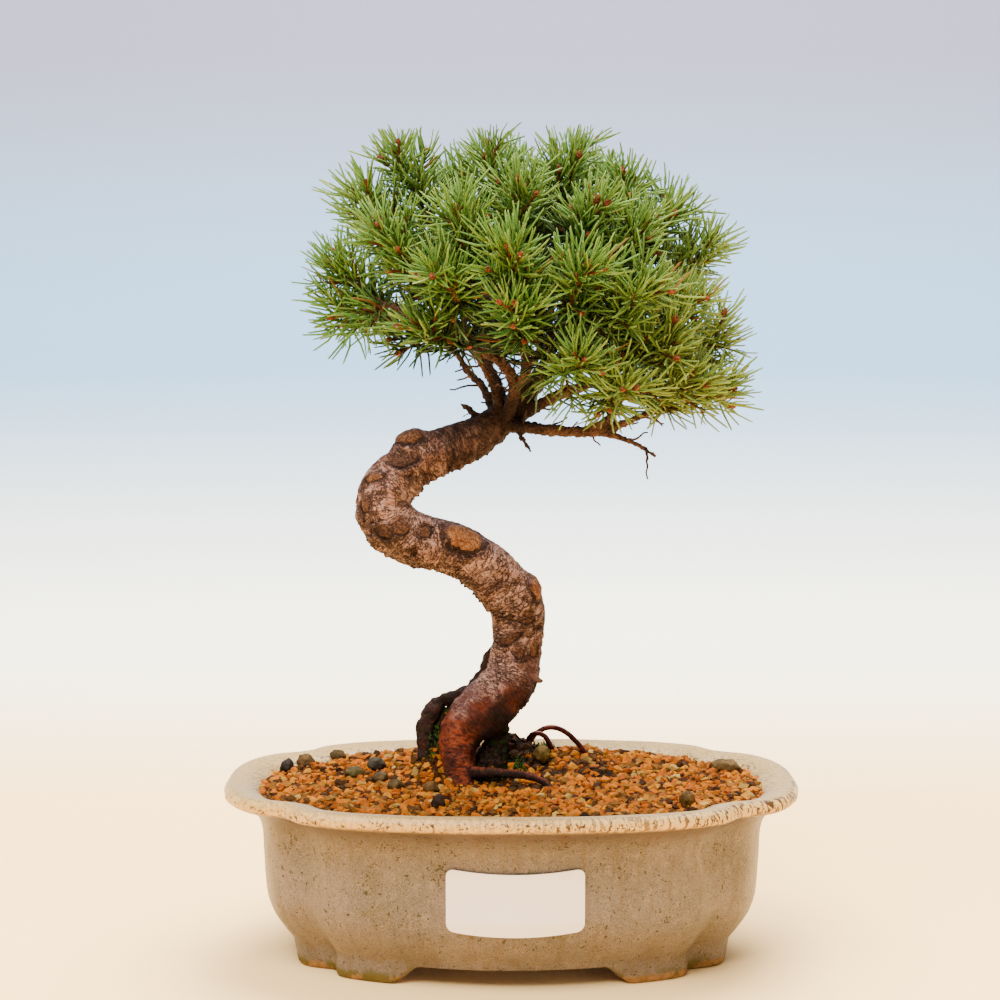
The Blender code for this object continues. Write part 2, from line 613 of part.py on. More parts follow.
def crown_reach(look):
    # How far the leafy masses reach from the hub in a direction
    far = 0
    for centre, half in CROWN_MASSES:
        scale = Vector((1 / half[0], 1 / half[1], 1 / half[2]))
        start = (CROWN_HUB - Vector(centre)) * scale
        ray = look * scale
        a, b, c = ray.dot(ray), start.dot(ray), start.dot(start) - 1
        inside = b * b - a * c
        if inside > 0:
            far = max(far, (math.sqrt(inside) - b) / a)
    return far


def shoot_tips():
    # The tips seen from the front, then the rest by rule, evenly over the crown
    tips = [Vector(tip) for tip in FRONT_TIPS]
    rng = random.Random(SEED)
    for k in range(TIP_TRIES):
        z = 1 - (1 - LOWEST_LOOK) * (k + 0.5) / TIP_TRIES
        angle = k * math.pi * (3 - math.sqrt(5))
        flat = math.sqrt(1 - z * z)
        look = Vector((flat * math.cos(angle), flat * math.sin(angle), z))
        tip = CROWN_HUB + look * crown_reach(look) * rng.uniform(0.94, 1.0)
        tip.y = max(-CROWN_DEPTH_LIMIT, min(CROWN_DEPTH_LIMIT, tip.y))
        if len(tips) < SPRAY_COUNT and min((tip - other).length for other in tips) > TIP_SPACING:
            tips.append(tip)
    return tips


def leader_heading(tip):
    outwards = (tip - CROWN_HUB).normalized()
    return (outwards + UP * 0.42).normalized()


class Clear:
    # Straight pieces with a radius at each end, and whether a new one stays clear of them

    def __init__(self):
        self.rows = np.zeros((0, 9))

    def add(self, start, end, radius_a, radius_b, owner):
        row = np.array([*start, *end, radius_a, radius_b, owner], dtype=float)
        self.rows = np.vstack((self.rows, row))

    def free(self, start, end, radius_a, radius_b, skip=()):
        rows = self.rows
        for owner in skip:
            rows = rows[rows[:, 8] != owner]
        if not len(rows):
            return True
        p, q = np.array(start), np.array(end)
        d1 = q - p
        d2 = rows[:, 3:6] - rows[:, 0:3]
        r = p - rows[:, 0:3]
        a = d1 @ d1
        e = np.einsum("ij,ij->i", d2, d2)
        b = d2 @ d1
        c = r @ d1
        f = np.einsum("ij,ij->i", d2, r)
        denominator = np.maximum(a * e - b * b, 1e-9)
        s = np.clip((b * f - c * e) / denominator, 0, 1)
        t = np.clip((b * s + f) / e, 0, 1)
        s = np.clip((b * t - c) / a, 0, 1)
        gap = np.linalg.norm(r + s[:, None] * d1 - t[:, None] * d2, axis=1)
        width = radius_a + (radius_b - radius_a) * s + rows[:, 6] + (rows[:, 7] - rows[:, 6]) * t
        return bool(np.all(gap > width + CLEARANCE))


def place_leaders(tips, limbs, clear):
    # The foot and heading of every leading shoot, clear of the limbs and of each other
    for path in limbs:
        for a, b in zip(path, path[1:]):
            clear.add(a[:3], b[:3], a[3], b[3], LIMB_OWNER)
    rng = random.Random(SEED)
    feet = []
    wide = LEADER_RADII[0] + LEADER_ROOM
    for n, tip in enumerate(tips):
        straight = leader_heading(tip)
        for attempt in range(LEADER_TRIES):
            shake = Vector([rng.uniform(-LEADER_SHAKE, LEADER_SHAKE) for i in range(3)]) * attempt
            heading = (straight + shake).normalized()
            foot = tip - straight * (LEADER_LENGTH - LEADER_OVERLAP - 0.2 * attempt)
            if clear.free(foot, foot + heading * (LEADER_LENGTH + BUD_LENGTH), wide, wide):
                break
        else:
            print("no clear way for leader", n + 1)
        clear.add(foot, foot + heading * (LEADER_LENGTH + BUD_LENGTH), *LEADER_RADII, n)
        feet.append((foot, heading))
    return feet


def twig_path(spot, foot, heading):
    start, along, radius = spot
    reach = (foot - start).length
    first = start + (along * 0.6 + (foot - start).normalized() * 0.4) * reach * 0.35
    second = foot - heading * reach * 0.42
    thick = min(radius * 0.85, TWIG_WIDEST)
    count = max(2, round(reach / TWIG_STEP))
    path = []
    for k in range(count + 1):
        t = k / count
        point = start * (1 - t) ** 3 + first * 3 * t * (1 - t) ** 2 \
            + second * 3 * t * t * (1 - t) + foot * t ** 3
        path.append((*point, thick + (TWIG_TIP_RADIUS - thick) * t))
    return path


def grow_twigs(feet, limbs, clear):
    # A twig from well-placed wood near by to each shoot's foot, the inner ones first
    wood = []
    for path in limbs:
        for a, b in zip(path[1:], path[2:] + [path[-1] * 2 - path[-2]]):
            wood.append((Vector(a[:3]), Vector((b - a)[:3]).normalized(), a[3]))
    twigs = {}
    for n in sorted(range(len(feet)), key=lambda n: (feet[n][0] - CROWN_HUB).length):
        foot, heading = feet[n]

        def cost(spot):
            gap = foot - spot[0]
            turn = 1 - spot[1].dot(gap.normalized()) if gap.length > 1 else 0
            late = 1 - heading.dot(gap.normalized()) if gap.length > 1 else 0
            return gap.length * (1 + 0.5 * turn + 0.7 * late) + (30 if gap.length < 3 else 0)

        for spot in sorted(wood, key=cost)[:TWIG_CHOICES]:
            path = twig_path(spot, foot, heading)
            pairs = [(Vector(a[:3]), Vector(b[:3])) for a, b in zip(path, path[1:])]
            if all(clear.free(a, b, TWIG_ROOM, TWIG_ROOM, (n, LIMB_OWNER)) for a, b in pairs):
                break
        else:
            print("no clear way for twig", n + 1)
        twigs[n] = path
        for a, b in zip(path[1:-1], path[2:]):
            wood.append((Vector(a[:3]), (Vector(b[:3]) - Vector(a[:3])).normalized(), a[3]))
    for n, path in twigs.items():
        for a, b in zip(path, path[1:]):
            clear.add(a[:3], b[:3], a[3], b[3], LIMB_OWNER)
    return [twigs[n] for n in range(len(feet))]


class Spray:
    # A leading shoot as a tapering stem in rows, each turned half a step, and side shoots that
    # grow out of its facets. One closed skin, so nothing has to be joined afterwards.

    def __init__(self, start, heading):
        self.verts = []
        self.faces = []
        self.spots = []
        self.stems = []
        side = heading.orthogonal().normalized()
        ring = self.add_ring(start, heading, side, LEADER_RADII[0], LEADER_SIDES, 0)
        self.faces.append(tuple(reversed(ring)))
        self.grow_stem(ring, start, heading, side, LEADER_LENGTH, LEADER_ROWS, LEADER_RADII)

    def add_ring(self, centre, heading, side, radius, sides, turn):
        other = heading.cross(side)
        first = len(self.verts)
        for i in range(sides):
            angle = math.tau * (i + turn / 2) / sides
            self.verts.append(centre + (side * math.cos(angle) + other * math.sin(angle)) * radius)
        return list(range(first, first + sides))

    def grow_stem(self, ring, start, heading, side, length, rows, radii):
        stem = len(self.stems)
        sides = len(ring)
        centres = [start]
        for k in range(1, rows + 1):
            part = k / rows
            centre = start + heading * length * part + UP * STEM_RISE * length * part * part
            radius = radii[0] + (radii[1] - radii[0]) * part
            upper = self.add_ring(centre, heading, side, radius, sides, k)
            for i in range(sides):
                j = (i + 1) % sides
                middle = centres[-1].lerp(centre, 0.4)
                self.spots.append(((ring[i], ring[j], upper[i]), stem, (k - 0.5) / rows, middle))
                self.faces.append((ring[j], upper[j], upper[i]))
            ring = upper
            centres.append(centre)
        self.verts.append(centres[-1] + heading * BUD_LENGTH)
        for i in range(sides):
            self.faces.append((ring[i], ring[(i + 1) % sides], len(self.verts) - 1))
        centres.append(self.verts[-1])
        self.stems.append((centres, heading, radii))

    def branch(self, look):
        # Start of a side shoot: the leader's facet that looks most nearly that way
        best = None
        for spot in self.spots:
            corners, stem, part, middle = spot
            root = sum((self.verts[i] for i in corners), Vector()) / 3
            score = (root - middle).normalized().dot(look)
            if stem == 0 and SIDE_FROM < part < SIDE_TO and (best is None or score > best[0]):
                best = (score, spot, root)
        return best[1], best[2]

    def grow_side(self, spot, root, heading):
        self.spots.remove(spot)
        side = self.verts[spot[0][0]] - root
        side = (side - heading * side.dot(heading)).normalized()
        self.grow_stem(list(spot[0]), root, heading, side, SIDE_LENGTH, SIDE_ROWS, SIDE_RADII)

    def grow_needle(self, corners, apex):
        a, b, c = corners
        self.verts.append(apex)
        tip = len(self.verts) - 1
        self.faces += [(a, b, tip), (b, c, tip), (c, a, tip)]


def place_sprays(feet, clear):
    # Every spray's stems, the side shoots clear of the wood and of the other sprays
    rng = random.Random(SEED)
    sprays = [Spray(foot + heading * (GAP + 0.2), heading) for foot, heading in feet]
    for n, spray in enumerate(sprays):
        heading = spray.stems[0][1]
        across = heading.cross(UP).normalized()
        for k in range(SIDE_SHOOTS):
            for attempt in range(SIDE_TRIES):
                turn = math.tau * k / SIDE_SHOOTS + rng.uniform(-0.4, 0.4) + attempt * 0.55
                sideways = across * math.cos(turn) + across.cross(heading) * math.sin(turn)
                spot, root = spray.branch(sideways)
                outwards = (root - spot[3]).normalized()
                look = (heading * math.cos(SIDE_LEAN) + outwards * math.sin(SIDE_LEAN)).normalized()
                end = root + look * (SIDE_LENGTH + BUD_LENGTH)
                inside = abs(end.y) < CROWN_DEPTH_LIMIT + 3
                out = root + look * 2.5
                if inside and clear.free(out, end, SIDE_RADII[0] + SIDE_ROOM, SIDE_RADII[1] + SIDE_ROOM):
                    spray.grow_side(spot, root, look)
                    clear.add(root, end, *SIDE_RADII, n + SIDE_OWNER * (k + 1))
                    break
    return sprays


def grow_needles(sprays, clear):
    # Needles on every spray, each clear of all stems, wood and other needles
    rng = random.Random(SEED)
    grown = 0
    for n, spray in enumerate(sprays):
        for corners, stem, part, middle in spray.spots:
            heading = spray.stems[stem][1]
            owner = n + SIDE_OWNER * stem
            own = (owner, owner + NEEDLE_OWNER)
            root = sum((spray.verts[i] for i in corners), Vector()) / 3
            out = (root - middle).normalized()
            lean = NEEDLE_LEAN + (NEEDLE_LEAN_TIP - NEEDLE_LEAN) * part
            for attempt in range(NEEDLE_TRIES):
                wobble = Vector([rng.uniform(-0.08, 0.08) for i in range(3)]) * (1 + 1.5 * attempt)
                look = out * math.sin(lean) + heading * math.cos(lean) + UP * 0.1 + wobble
                look.normalize()
                length = NEEDLE_LENGTH * rng.uniform(0.85, 1.05) * (1 - 0.07 * attempt)
                apex = root + look * length
                near = root + look * length * 0.25
                deep = abs(apex.y) > POT_DEPTH / 2 - 0.5
                if not deep and clear.free(near, apex, NEEDLE_RADIUS * 0.8, NEEDLE_TIP_RADIUS, own):
                    spray.grow_needle(corners, apex)
                    clear.add(root, apex, NEEDLE_RADIUS, NEEDLE_TIP_RADIUS, owner + NEEDLE_OWNER)
                    grown += 1
                    break
            else:
                spray.faces.append(corners)
    print("needles grown", grown)


def build_tree():
    bark = make_material("bark", (0.20, 0.10, 0.07), 0.75)
    green = make_material("needles", (0.14, 0.27, 0.06), 0.5)
    clear = Clear()
    limbs = [smooth_path(limb, SMALL_WOOD_STEP) for limb in [TRUNK] + LIMBS + DEAD_STUBS]
    feet = place_leaders(shoot_tips(), limbs, clear)
    twigs = grow_twigs(feet, limbs, clear)
    tubes = wood_tubes() + [tube(twig, 4, tip=0.0) for twig in twigs]
    pieces = [add_mesh("wood", *shape) for shape in tubes[1:]]
    trunk = add_mesh("trunk", *tubes[0], bark)
    combine(trunk, pieces + add_knobs(), "UNION")
    print("wood scraps", tidy(trunk))
    shade(trunk, 50)
    sprays = place_sprays(feet, clear)
    grow_needles(sprays, clear)
    for number, spray in enumerate(sprays, 1):
        add_mesh(f"spray_{number:02d}", spray.verts, spray.faces, green)


def soil_cutters():
    cutters = [add_mesh("root_cutter", *shape) for shape in wood_tubes(GAP * 1.2, below=CUT_BELOW)]
    wire = smooth_path([(*p, WIRE_RADIUS) for p in WIRE_PATH], WIRE_STEP)
    cutters.append(add_mesh("wire_cutter", *tube(wire, 5, GAP * 1.5)))
    cutters += [build_stone(number, GAP * 1.3) for number in range(1, len(STONES) + 1)]
    for x in (-DRAIN_HOLE_X, DRAIN_HOLE_X):
        half = SCREEN_SIZE / 2 + GAP
        square = [(x - half, -half), (x + half, -half), (x + half, half), (x - half, half)]
        levels = (FLOOR_Z - 2, FLOOR_Z + SCREEN_THICKNESS + 2 * GAP)
        cutters.append(add_mesh("screen_cutter", *loft([[(*p, z) for p in square] for z in levels])))
    return cutters


def main():
    clear_scene()
    build_pot()
    build_screen("drain_screen_left", -DRAIN_HOLE_X)
    build_screen("drain_screen_right", DRAIN_HOLE_X)
    build_soil(soil_cutters())
    for number in range(1, len(STONES) + 1):
        build_stone(number)
    build_label()
    build_wire()
    build_tree()
    for obj in bpy.context.scene.objects:
        count = sum(len(p.vertices) - 2 for p in obj.data.polygons)
        print(obj.name, count)


main()
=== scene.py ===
# A spruce bonsai in a glazed oval pot: its looks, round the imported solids.
# Sizes and routes below are millimetres, and mm turns them into metres. +Z is up, the front is -Y.
import json
import math
import random

import bmesh
import bpy
import numpy as np
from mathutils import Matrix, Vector, noise

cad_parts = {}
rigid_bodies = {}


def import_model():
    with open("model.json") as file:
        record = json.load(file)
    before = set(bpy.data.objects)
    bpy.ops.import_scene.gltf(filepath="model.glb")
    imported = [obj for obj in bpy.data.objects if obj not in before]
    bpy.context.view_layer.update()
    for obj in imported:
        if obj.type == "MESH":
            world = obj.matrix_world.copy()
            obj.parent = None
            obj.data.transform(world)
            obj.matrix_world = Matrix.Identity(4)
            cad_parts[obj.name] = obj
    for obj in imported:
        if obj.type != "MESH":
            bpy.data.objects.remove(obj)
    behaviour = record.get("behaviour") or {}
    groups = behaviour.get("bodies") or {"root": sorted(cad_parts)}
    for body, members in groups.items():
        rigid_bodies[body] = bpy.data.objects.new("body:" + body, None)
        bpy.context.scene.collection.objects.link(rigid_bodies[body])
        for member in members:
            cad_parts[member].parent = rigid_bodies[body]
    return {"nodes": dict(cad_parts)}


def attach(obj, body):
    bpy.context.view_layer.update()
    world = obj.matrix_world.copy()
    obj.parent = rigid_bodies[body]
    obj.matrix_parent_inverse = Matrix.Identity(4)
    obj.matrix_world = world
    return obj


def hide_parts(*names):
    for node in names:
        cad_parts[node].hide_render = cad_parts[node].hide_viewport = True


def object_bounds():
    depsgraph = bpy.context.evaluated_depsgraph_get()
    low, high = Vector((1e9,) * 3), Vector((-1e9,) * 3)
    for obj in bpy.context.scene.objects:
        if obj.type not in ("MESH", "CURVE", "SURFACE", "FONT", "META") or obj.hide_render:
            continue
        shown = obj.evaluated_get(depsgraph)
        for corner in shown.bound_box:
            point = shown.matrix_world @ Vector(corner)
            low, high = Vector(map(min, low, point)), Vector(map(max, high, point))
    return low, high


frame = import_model()
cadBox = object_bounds()
mm = 0.001
up = Vector((0, 0, 1))
goldenAngle = math.pi * (3 - math.sqrt(5))


# Nodes: the wrapped socket does the maths, the trees add everything else

class Socket:
    def __init__(self, owner, socket):
        self.owner = owner
        self.socket = socket

    def __add__(self, other):
        return self.owner.math("ADD", self, other)

    def __sub__(self, other):
        return self.owner.math("SUBTRACT", self, other)

    def __rsub__(self, other):
        return self.owner.math("SUBTRACT", other, self)

    def __mul__(self, other):
        return self.owner.math("MULTIPLY", self, other)

    def __truediv__(self, other):
        return self.owner.math("DIVIDE", self, other)

    __radd__ = __add__
    __rmul__ = __mul__


class NodeTree:
    def __init__(self, tree):
        self.tree = tree

    def node(self, kind, settings=None, inputs=None):
        # Settings go on first, then values or links for the sockets
        made = self.tree.nodes.new(kind)
        for key, value in (settings or {}).items():
            if key == "stops":
                self.fillRamp(made.color_ramp, value)
            else:
                setattr(made, key, value)
        for key, value in (inputs or {}).items():
            if isinstance(value, Socket):
                self.tree.links.new(value.socket, made.inputs[key])
            else:
                made.inputs[key].default_value = value
        return made

    def get(self, kind, settings=None, inputs=None, output=0):
        return Socket(self, self.node(kind, settings, inputs).outputs[output])

    def fillRamp(self, ramp, stops):
        while len(ramp.elements) < len(stops):
            ramp.elements.new(0.5)
        for element, (place, colour) in zip(ramp.elements, stops):
            element.position = place
            element.color = colour

    def math(self, operation, *values):
        return self.get("ShaderNodeMath", {"operation": operation}, dict(enumerate(values)))

    def most(self, value, *others):
        for other in others:
            value = self.math("MAXIMUM", value, other)
        return value


class Finish(NodeTree):
    # A material. Sizes are millimetres on the piece; masks run from 0 to 1.
    def __init__(self, name):
        self.material = bpy.data.materials.new(name)
        self.material.use_nodes = True
        super().__init__(self.material.node_tree)
        self.tree.nodes.clear()
        self.point = self.get("ShaderNodeTexCoord", output="Object")

    def axis(self, index):
        return self.get("ShaderNodeSeparateXYZ", inputs={0: self.point}, output=index) * (1 / mm)

    def stretched(self, along, at=None):
        return self.get("ShaderNodeMapping", inputs={"Vector": at or self.point, "Scale": along})

    def sized(self, size, at=None):
        return {"Vector": at or self.point, "Scale": 1 / (size * mm)}

    def noise(self, size, detail=3, rough=0.5, at=None):
        return self.get("ShaderNodeTexNoise",
                        inputs={**self.sized(size, at), "Detail": detail, "Roughness": rough})

    def band(self, value, low, high):
        return self.get("ShaderNodeMapRange", {"interpolation_type": "SMOOTHSTEP"},
                        {"Value": value, "From Min": low, "From Max": high})

    def dots(self, size, radius, share, at=None):
        # Round dots in a share of the cells, radius in cells
        cells = self.node("ShaderNodeTexVoronoi", inputs=self.sized(size, at))
        chance = self.get("ShaderNodeSeparateColor", inputs={0: Socket(self, cells.outputs["Color"])})
        near = self.band(Socket(self, cells.outputs["Distance"]), radius, radius * 0.6)
        return near * self.math("GREATER_THAN", chance, 1 - share)

    def lines(self, value, width):
        # Thin winding lines where a noise crosses its middle
        return self.band(self.math("ABSOLUTE", value - 0.5), width, width * 0.25)

    def joints(self, size, width, at):
        # The edges between the cells of a scaly skin
        cells = self.get("ShaderNodeTexVoronoi", {"feature": "DISTANCE_TO_EDGE"}, self.sized(size, at))
        return self.band(cells, width, width * 0.3)

    def warped(self, at, size, amount):
        # The same place shaken by noise, so that no edge is straight
        shake = self.get("ShaderNodeTexNoise", inputs={**self.sized(size, at), "Detail": 3}, output="Color")
        return self.get("ShaderNodeVectorMath", {"operation": "MULTIPLY_ADD"},
                        {0: shake, 1: (amount * mm,) * 3, 2: at})

    def attribute(self, name, output="Fac"):
        return self.get("ShaderNodeAttribute", {"attribute_name": name}, output=output)

    def parts(self, name):
        split = self.node("ShaderNodeSeparateXYZ", inputs={0: self.attribute(name, "Vector")})
        return [Socket(self, output) for output in split.outputs]

    def steps(self, value, stops):
        # One plain colour after the other, each from its place on
        painted = [(place, paint(*shade)) for place, shade in stops]
        made = self.node("ShaderNodeValToRGB", {"stops": painted}, {0: value})
        made.color_ramp.interpolation = "CONSTANT"
        return Socket(self, made.outputs[0])

    def mix(self, factor, first, second):
        # Two colours, each a socket or a shade to paint
        first, second = [shade if isinstance(shade, Socket) else paint(*shade) for shade in (first, second)]
        return self.get("ShaderNodeMix", {"data_type": "RGBA"}, {0: factor, 6: first, 7: second}, output=2)

    def coats(self, colour, *coats):
        # Coats over a colour, each with its mask and its shade
        for mask, shade in coats:
            colour = self.mix(mask, colour, shade)
        return colour

    def finish(self, colour, roughness, height=None, depth=0.2, shine=0.12, **fixed):
        # depth is the bump's full height in millimetres; little shine keeps the colours deep
        inputs = {"Base Color": colour, "Roughness": roughness, "Specular IOR Level": shine}
        if height is not None:
            inputs["Normal"] = self.get("ShaderNodeBump", inputs={"Strength": 1.0, "Distance": depth * mm,
                                                                  "Height": height})
        for name, value in fixed.items():
            inputs[name.replace("_", " ")] = value
        shader = self.get("ShaderNodeBsdfPrincipled", inputs=inputs)
        self.node("ShaderNodeOutputMaterial", inputs={"Surface": shader})
        return self.material


class Pattern(NodeTree):
    # A Geometry Nodes tree with named inputs
    def __init__(self, name):
        super().__init__(bpy.data.node_groups.new(name, "GeometryNodeTree"))
        self.names = {}
        self.tree.interface.new_socket("Geometry", in_out="INPUT", socket_type="NodeSocketGeometry")
        self.tree.interface.new_socket("Geometry", in_out="OUTPUT", socket_type="NodeSocketGeometry")
        self.start = self.tree.nodes.new("NodeGroupInput")

    def given(self):
        return Socket(self, self.start.outputs["Geometry"])

    def ask(self, name, kind, default=None):
        item = self.tree.interface.new_socket(name, in_out="INPUT", socket_type="NodeSocket" + kind)
        if default is not None:
            item.default_value = default
        self.names[name] = item.identifier
        return Socket(self, self.start.outputs[name])

    def attribute(self, name, kind="FLOAT"):
        return self.get("GeometryNodeInputNamedAttribute", {"data_type": kind}, {"Name": name})

    def random(self, low, high, seed, shift=0):
        return self.get("FunctionNodeRandomValue", {"data_type": "FLOAT"},
                        {2: low, 3: high, "Seed": seed + shift if shift else seed}, output=1)

    def turned(self, rotation, axis, angle):
        by = self.get("FunctionNodeAxisAngleToRotation", inputs={"Axis": axis, "Angle": angle})
        return self.get("FunctionNodeRotateRotation", {"rotation_space": "LOCAL"},
                        {"Rotation": rotation, "Rotate By": by})

    def facing(self, vector, rotation=None, factor=1.0):
        inputs = {"Vector": vector, "Factor": factor}
        if rotation:
            inputs["Rotation"] = rotation
        return self.get("FunctionNodeAlignRotationToVector", {"axis": "Z"}, inputs)

    def vector(self, operation, *values):
        return self.get("ShaderNodeVectorMath", {"operation": operation}, dict(enumerate(values)))

    def shape(self, obj):
        return self.get("GeometryNodeObjectInfo", inputs={"Object": obj}, output="Geometry")

    def toned(self, geometry, seed, shift):
        # A random tone for each instance, which its material reads
        return self.get("GeometryNodeStoreNamedAttribute", {"data_type": "FLOAT", "domain": "INSTANCE"},
                        {"Geometry": geometry, "Name": "tone", "Value": self.random(0.0, 1.0, seed, shift)})

    def finished(self, pieces):
        # Everything joined, made real and handed out
        joined = self.node("GeometryNodeJoinGeometry")
        for piece in pieces:
            self.tree.links.new(piece.socket, joined.inputs[0])
        real = self.get("GeometryNodeRealizeInstances", inputs={0: Socket(self, joined.outputs[0])})
        self.node("NodeGroupOutput", inputs={0: real})

    def painted(self, geometry, material):
        return self.get("GeometryNodeSetMaterial", inputs={"Geometry": geometry, "Material": material})


def applyPattern(obj, pattern, values):
    # The pattern's result as obj's own plain mesh
    modifier = obj.modifiers.new("pattern", "NODES")
    modifier.node_group = pattern.tree
    for name, value in values.items():
        modifier[pattern.names[name]] = value
    plainMesh(obj)


def plainMesh(obj):
    graph = bpy.context.evaluated_depsgraph_get()
    mesh = bpy.data.meshes.new_from_object(obj.evaluated_get(graph), preserve_all_data_layers=True,
                                           depsgraph=graph)
    obj.modifiers.clear()
    old = obj.data
    obj.data = mesh
    bpy.data.meshes.remove(old)
    mesh.name = obj.name


def paint(red, green, blue, share=0.42, deep=1.3):
    # A colour as the picture shows it, made linear and deeper, because the view pales colours.
    # The strong light needs only a share of its brightness; white paper and the backdrop take all of it.
    def linear(part):
        part /= 255
        return part / 12.92 if part <= 0.04045 else ((part + 0.055) / 1.055) ** 2.4
    parts = [max(linear(part), 0.002) for part in (red, green, blue)]
    grey = 0.21 * parts[0] + 0.72 * parts[1] + 0.07 * parts[2]
    return (*[min(1, share * grey * (part / grey) ** deep) for part in parts], 1)


# Mesh helpers

def linked(name, data):
    obj = bpy.data.objects.new(name, data)
    bpy.context.scene.collection.objects.link(obj)
    return obj


def newMesh(name, verts, faces, material=None, smooth=True):
    mesh = bpy.data.meshes.new(name)
    mesh.from_pydata([tuple(c * mm for c in v) for v in verts], [], faces)
    if material:
        mesh.materials.append(material)
    if smooth:
        mesh.shade_smooth()
    return linked(name, mesh)


def packedCopy(node, name):
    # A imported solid's loose triangles, merged, as a piece of its own
    form = bmesh.new()
    form.from_mesh(frame["nodes"][node].data)
    bmesh.ops.remove_doubles(form, verts=form.verts, dist=0.01 * mm)
    mesh = bpy.data.meshes.new(name)
    form.to_mesh(mesh)
    form.free()
    return linked(name, mesh)


def outwards(obj):
    form = bmesh.new()
    form.from_mesh(obj.data)
    bmesh.ops.recalc_face_normals(form, faces=form.faces)
    form.to_mesh(obj.data)
    form.free()


def keepAttribute(obj, name, kind, values):
    made = obj.data.attributes.new(name, kind, "POINT")
    made.data.foreach_set("value" if kind == "FLOAT" else "vector", np.asarray(values, np.float32).ravel())


def readRows(source, name):
    found = np.zeros(len(source) * 3, np.float32)
    source.foreach_get(name, found)
    return found.reshape(-1, 3).astype(float)


def coordinates(obj):
    return readRows(obj.data.vertices, "co") / mm


def moveTo(obj, points):
    obj.data.vertices.foreach_set("co", (points * mm).astype(np.float32).ravel())
    obj.data.update()


def normals(obj):
    return readRows(obj.data.vertex_normals, "vector")


def place(obj, slot, *nodes):
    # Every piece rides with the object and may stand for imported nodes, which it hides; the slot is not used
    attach(obj, "root")
    if nodes:
        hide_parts(*nodes)


def smoothPath(points, step):
    # Points at about equal steps on a Catmull-Rom curve; works on x, y, z and radius alike
    rows = [np.array(p, dtype=float) for p in points]
    rows = [2 * rows[0] - rows[1]] + rows + [2 * rows[-1] - rows[-2]]
    path = []
    for a, b, c, d in zip(rows, rows[1:], rows[2:], rows[3:]):
        count = max(1, round(np.linalg.norm((c - b)[:3]) / step))
        for i in range(count):
            t = i / count
            path.append(0.5 * (2 * b + (c - a) * t + (2 * a - 5 * b + 4 * c - d) * t * t
                               + (3 * b - a - 3 * c + d) * t ** 3))
    path.append(rows[-2])
    return path


def ringFaces(sides, rings):
    # Quads from each ring of points to the next
    return [(low + i, low + (i + 1) % sides, low + sides + (i + 1) % sides, low + sides + i)
            for low in range(0, (rings - 1) * sides, sides) for i in range(sides)]


def fanFaces(low, sides, hub, turn=1):
    # Triangles from one ring to a point
    return [(*(low + i, low + (i + 1) % sides)[::turn], hub) for i in range(sides)]


def tube(path, sides, relief=None, tip=0.6):
    # A round tube along rows of x, y, z, radius, with a domed cap on each end
    centres = [Vector(row[:3]) for row in path]
    count = len(centres)
    verts = []
    side = None
    for k, centre in enumerate(centres):
        axis = (centres[min(k + 1, count - 1)] - centres[max(k - 1, 0)]).normalized()
        side = (axis.orthogonal() if side is None else side - axis * side.dot(axis)).normalized()
        other = axis.cross(side)
        for i in range(sides):
            angle = math.tau * i / sides
            radius = path[k][3] * (1 + (relief(k, angle) if relief else 0))
            verts.append(centre + (side * math.cos(angle) + other * math.sin(angle)) * radius)
    faces = ringFaces(sides, count)
    for k, inner, turn in ((0, 1, -1), (count - 1, count - 2, 1)):
        faces += fanFaces(k * sides, sides, len(verts), turn)
        verts.append(centres[k] + (centres[k] - centres[inner]).normalized() * path[k][3] * tip)
    return verts, faces


def joinShapes(shapes):
    verts = []
    faces = []
    for points, sheets in shapes:
        base = len(verts)
        verts += points
        faces += [tuple(base + i for i in sheet) for sheet in sheets]
    return verts, faces


# The pot

pot = {
    "length": 180, "depth": 109, "height": 57.2, "power": 2.6,
    "creaseHeights": (0, 26, 57.2), "creaseAngles": (32, 39, 40), "creaseDepths": (0.085, 0.04, 0.058),
    "creaseWidth": 8, "bulge": 4.2, "bulgeWidth": 30,
    "underside": 6, "underInsets": (46, 36, 30.6), "floor": 12, "floorInsets": (40, 50),
    # A foot's rings from inside: inset from the skirt, how far above the underside beside it, height on it
    "footRings": [(8.6, 0, 5.4), (8.1, 0, 1.2), (7.2, 0, 0.15), (6.0, 0, 0), (3.4, 0, 0), (2.0, 0, 0),
                  (1.2, 0.3, 0.3), (0.8, 0.9, 0.9), (0.4, 0.36, 3.2), (0.1, 1.0, 6.3)],
    "outside": [(21.2, 7.6), (19.8, 9.6), (17.6, 12.6), (14.8, 17.4), (13.1, 23.5), (12.5, 34), (12.0, 43),
                (10.2, 47.8), (6.6, 50.9), (2.6, 52.4), (0.7, 53.7), (0.55, 55.2), (1.5, 56.6), (3.8, 57.1),
                (7.6, 56.2), (11.0, 54.6), (14.4, 49), (17.2, 38), (20.4, 19), (27, 12)],
    "footFrom": 5, "footTo": 72, "footSlope": 7,
    "sides": 320, "profileStep": 1.5,
    "lipRound": 2.4, "lipFrom": 45,
    "drainX": 32, "drainRadius": 6,
    "wobble": 0.16, "insideBox": 0.02,
}


def bulgeAt(x, height):
    return pot["bulge"] * max(0, 1 - height / pot["height"]) * math.exp(-(x / pot["bulgeWidth"]) ** 2)


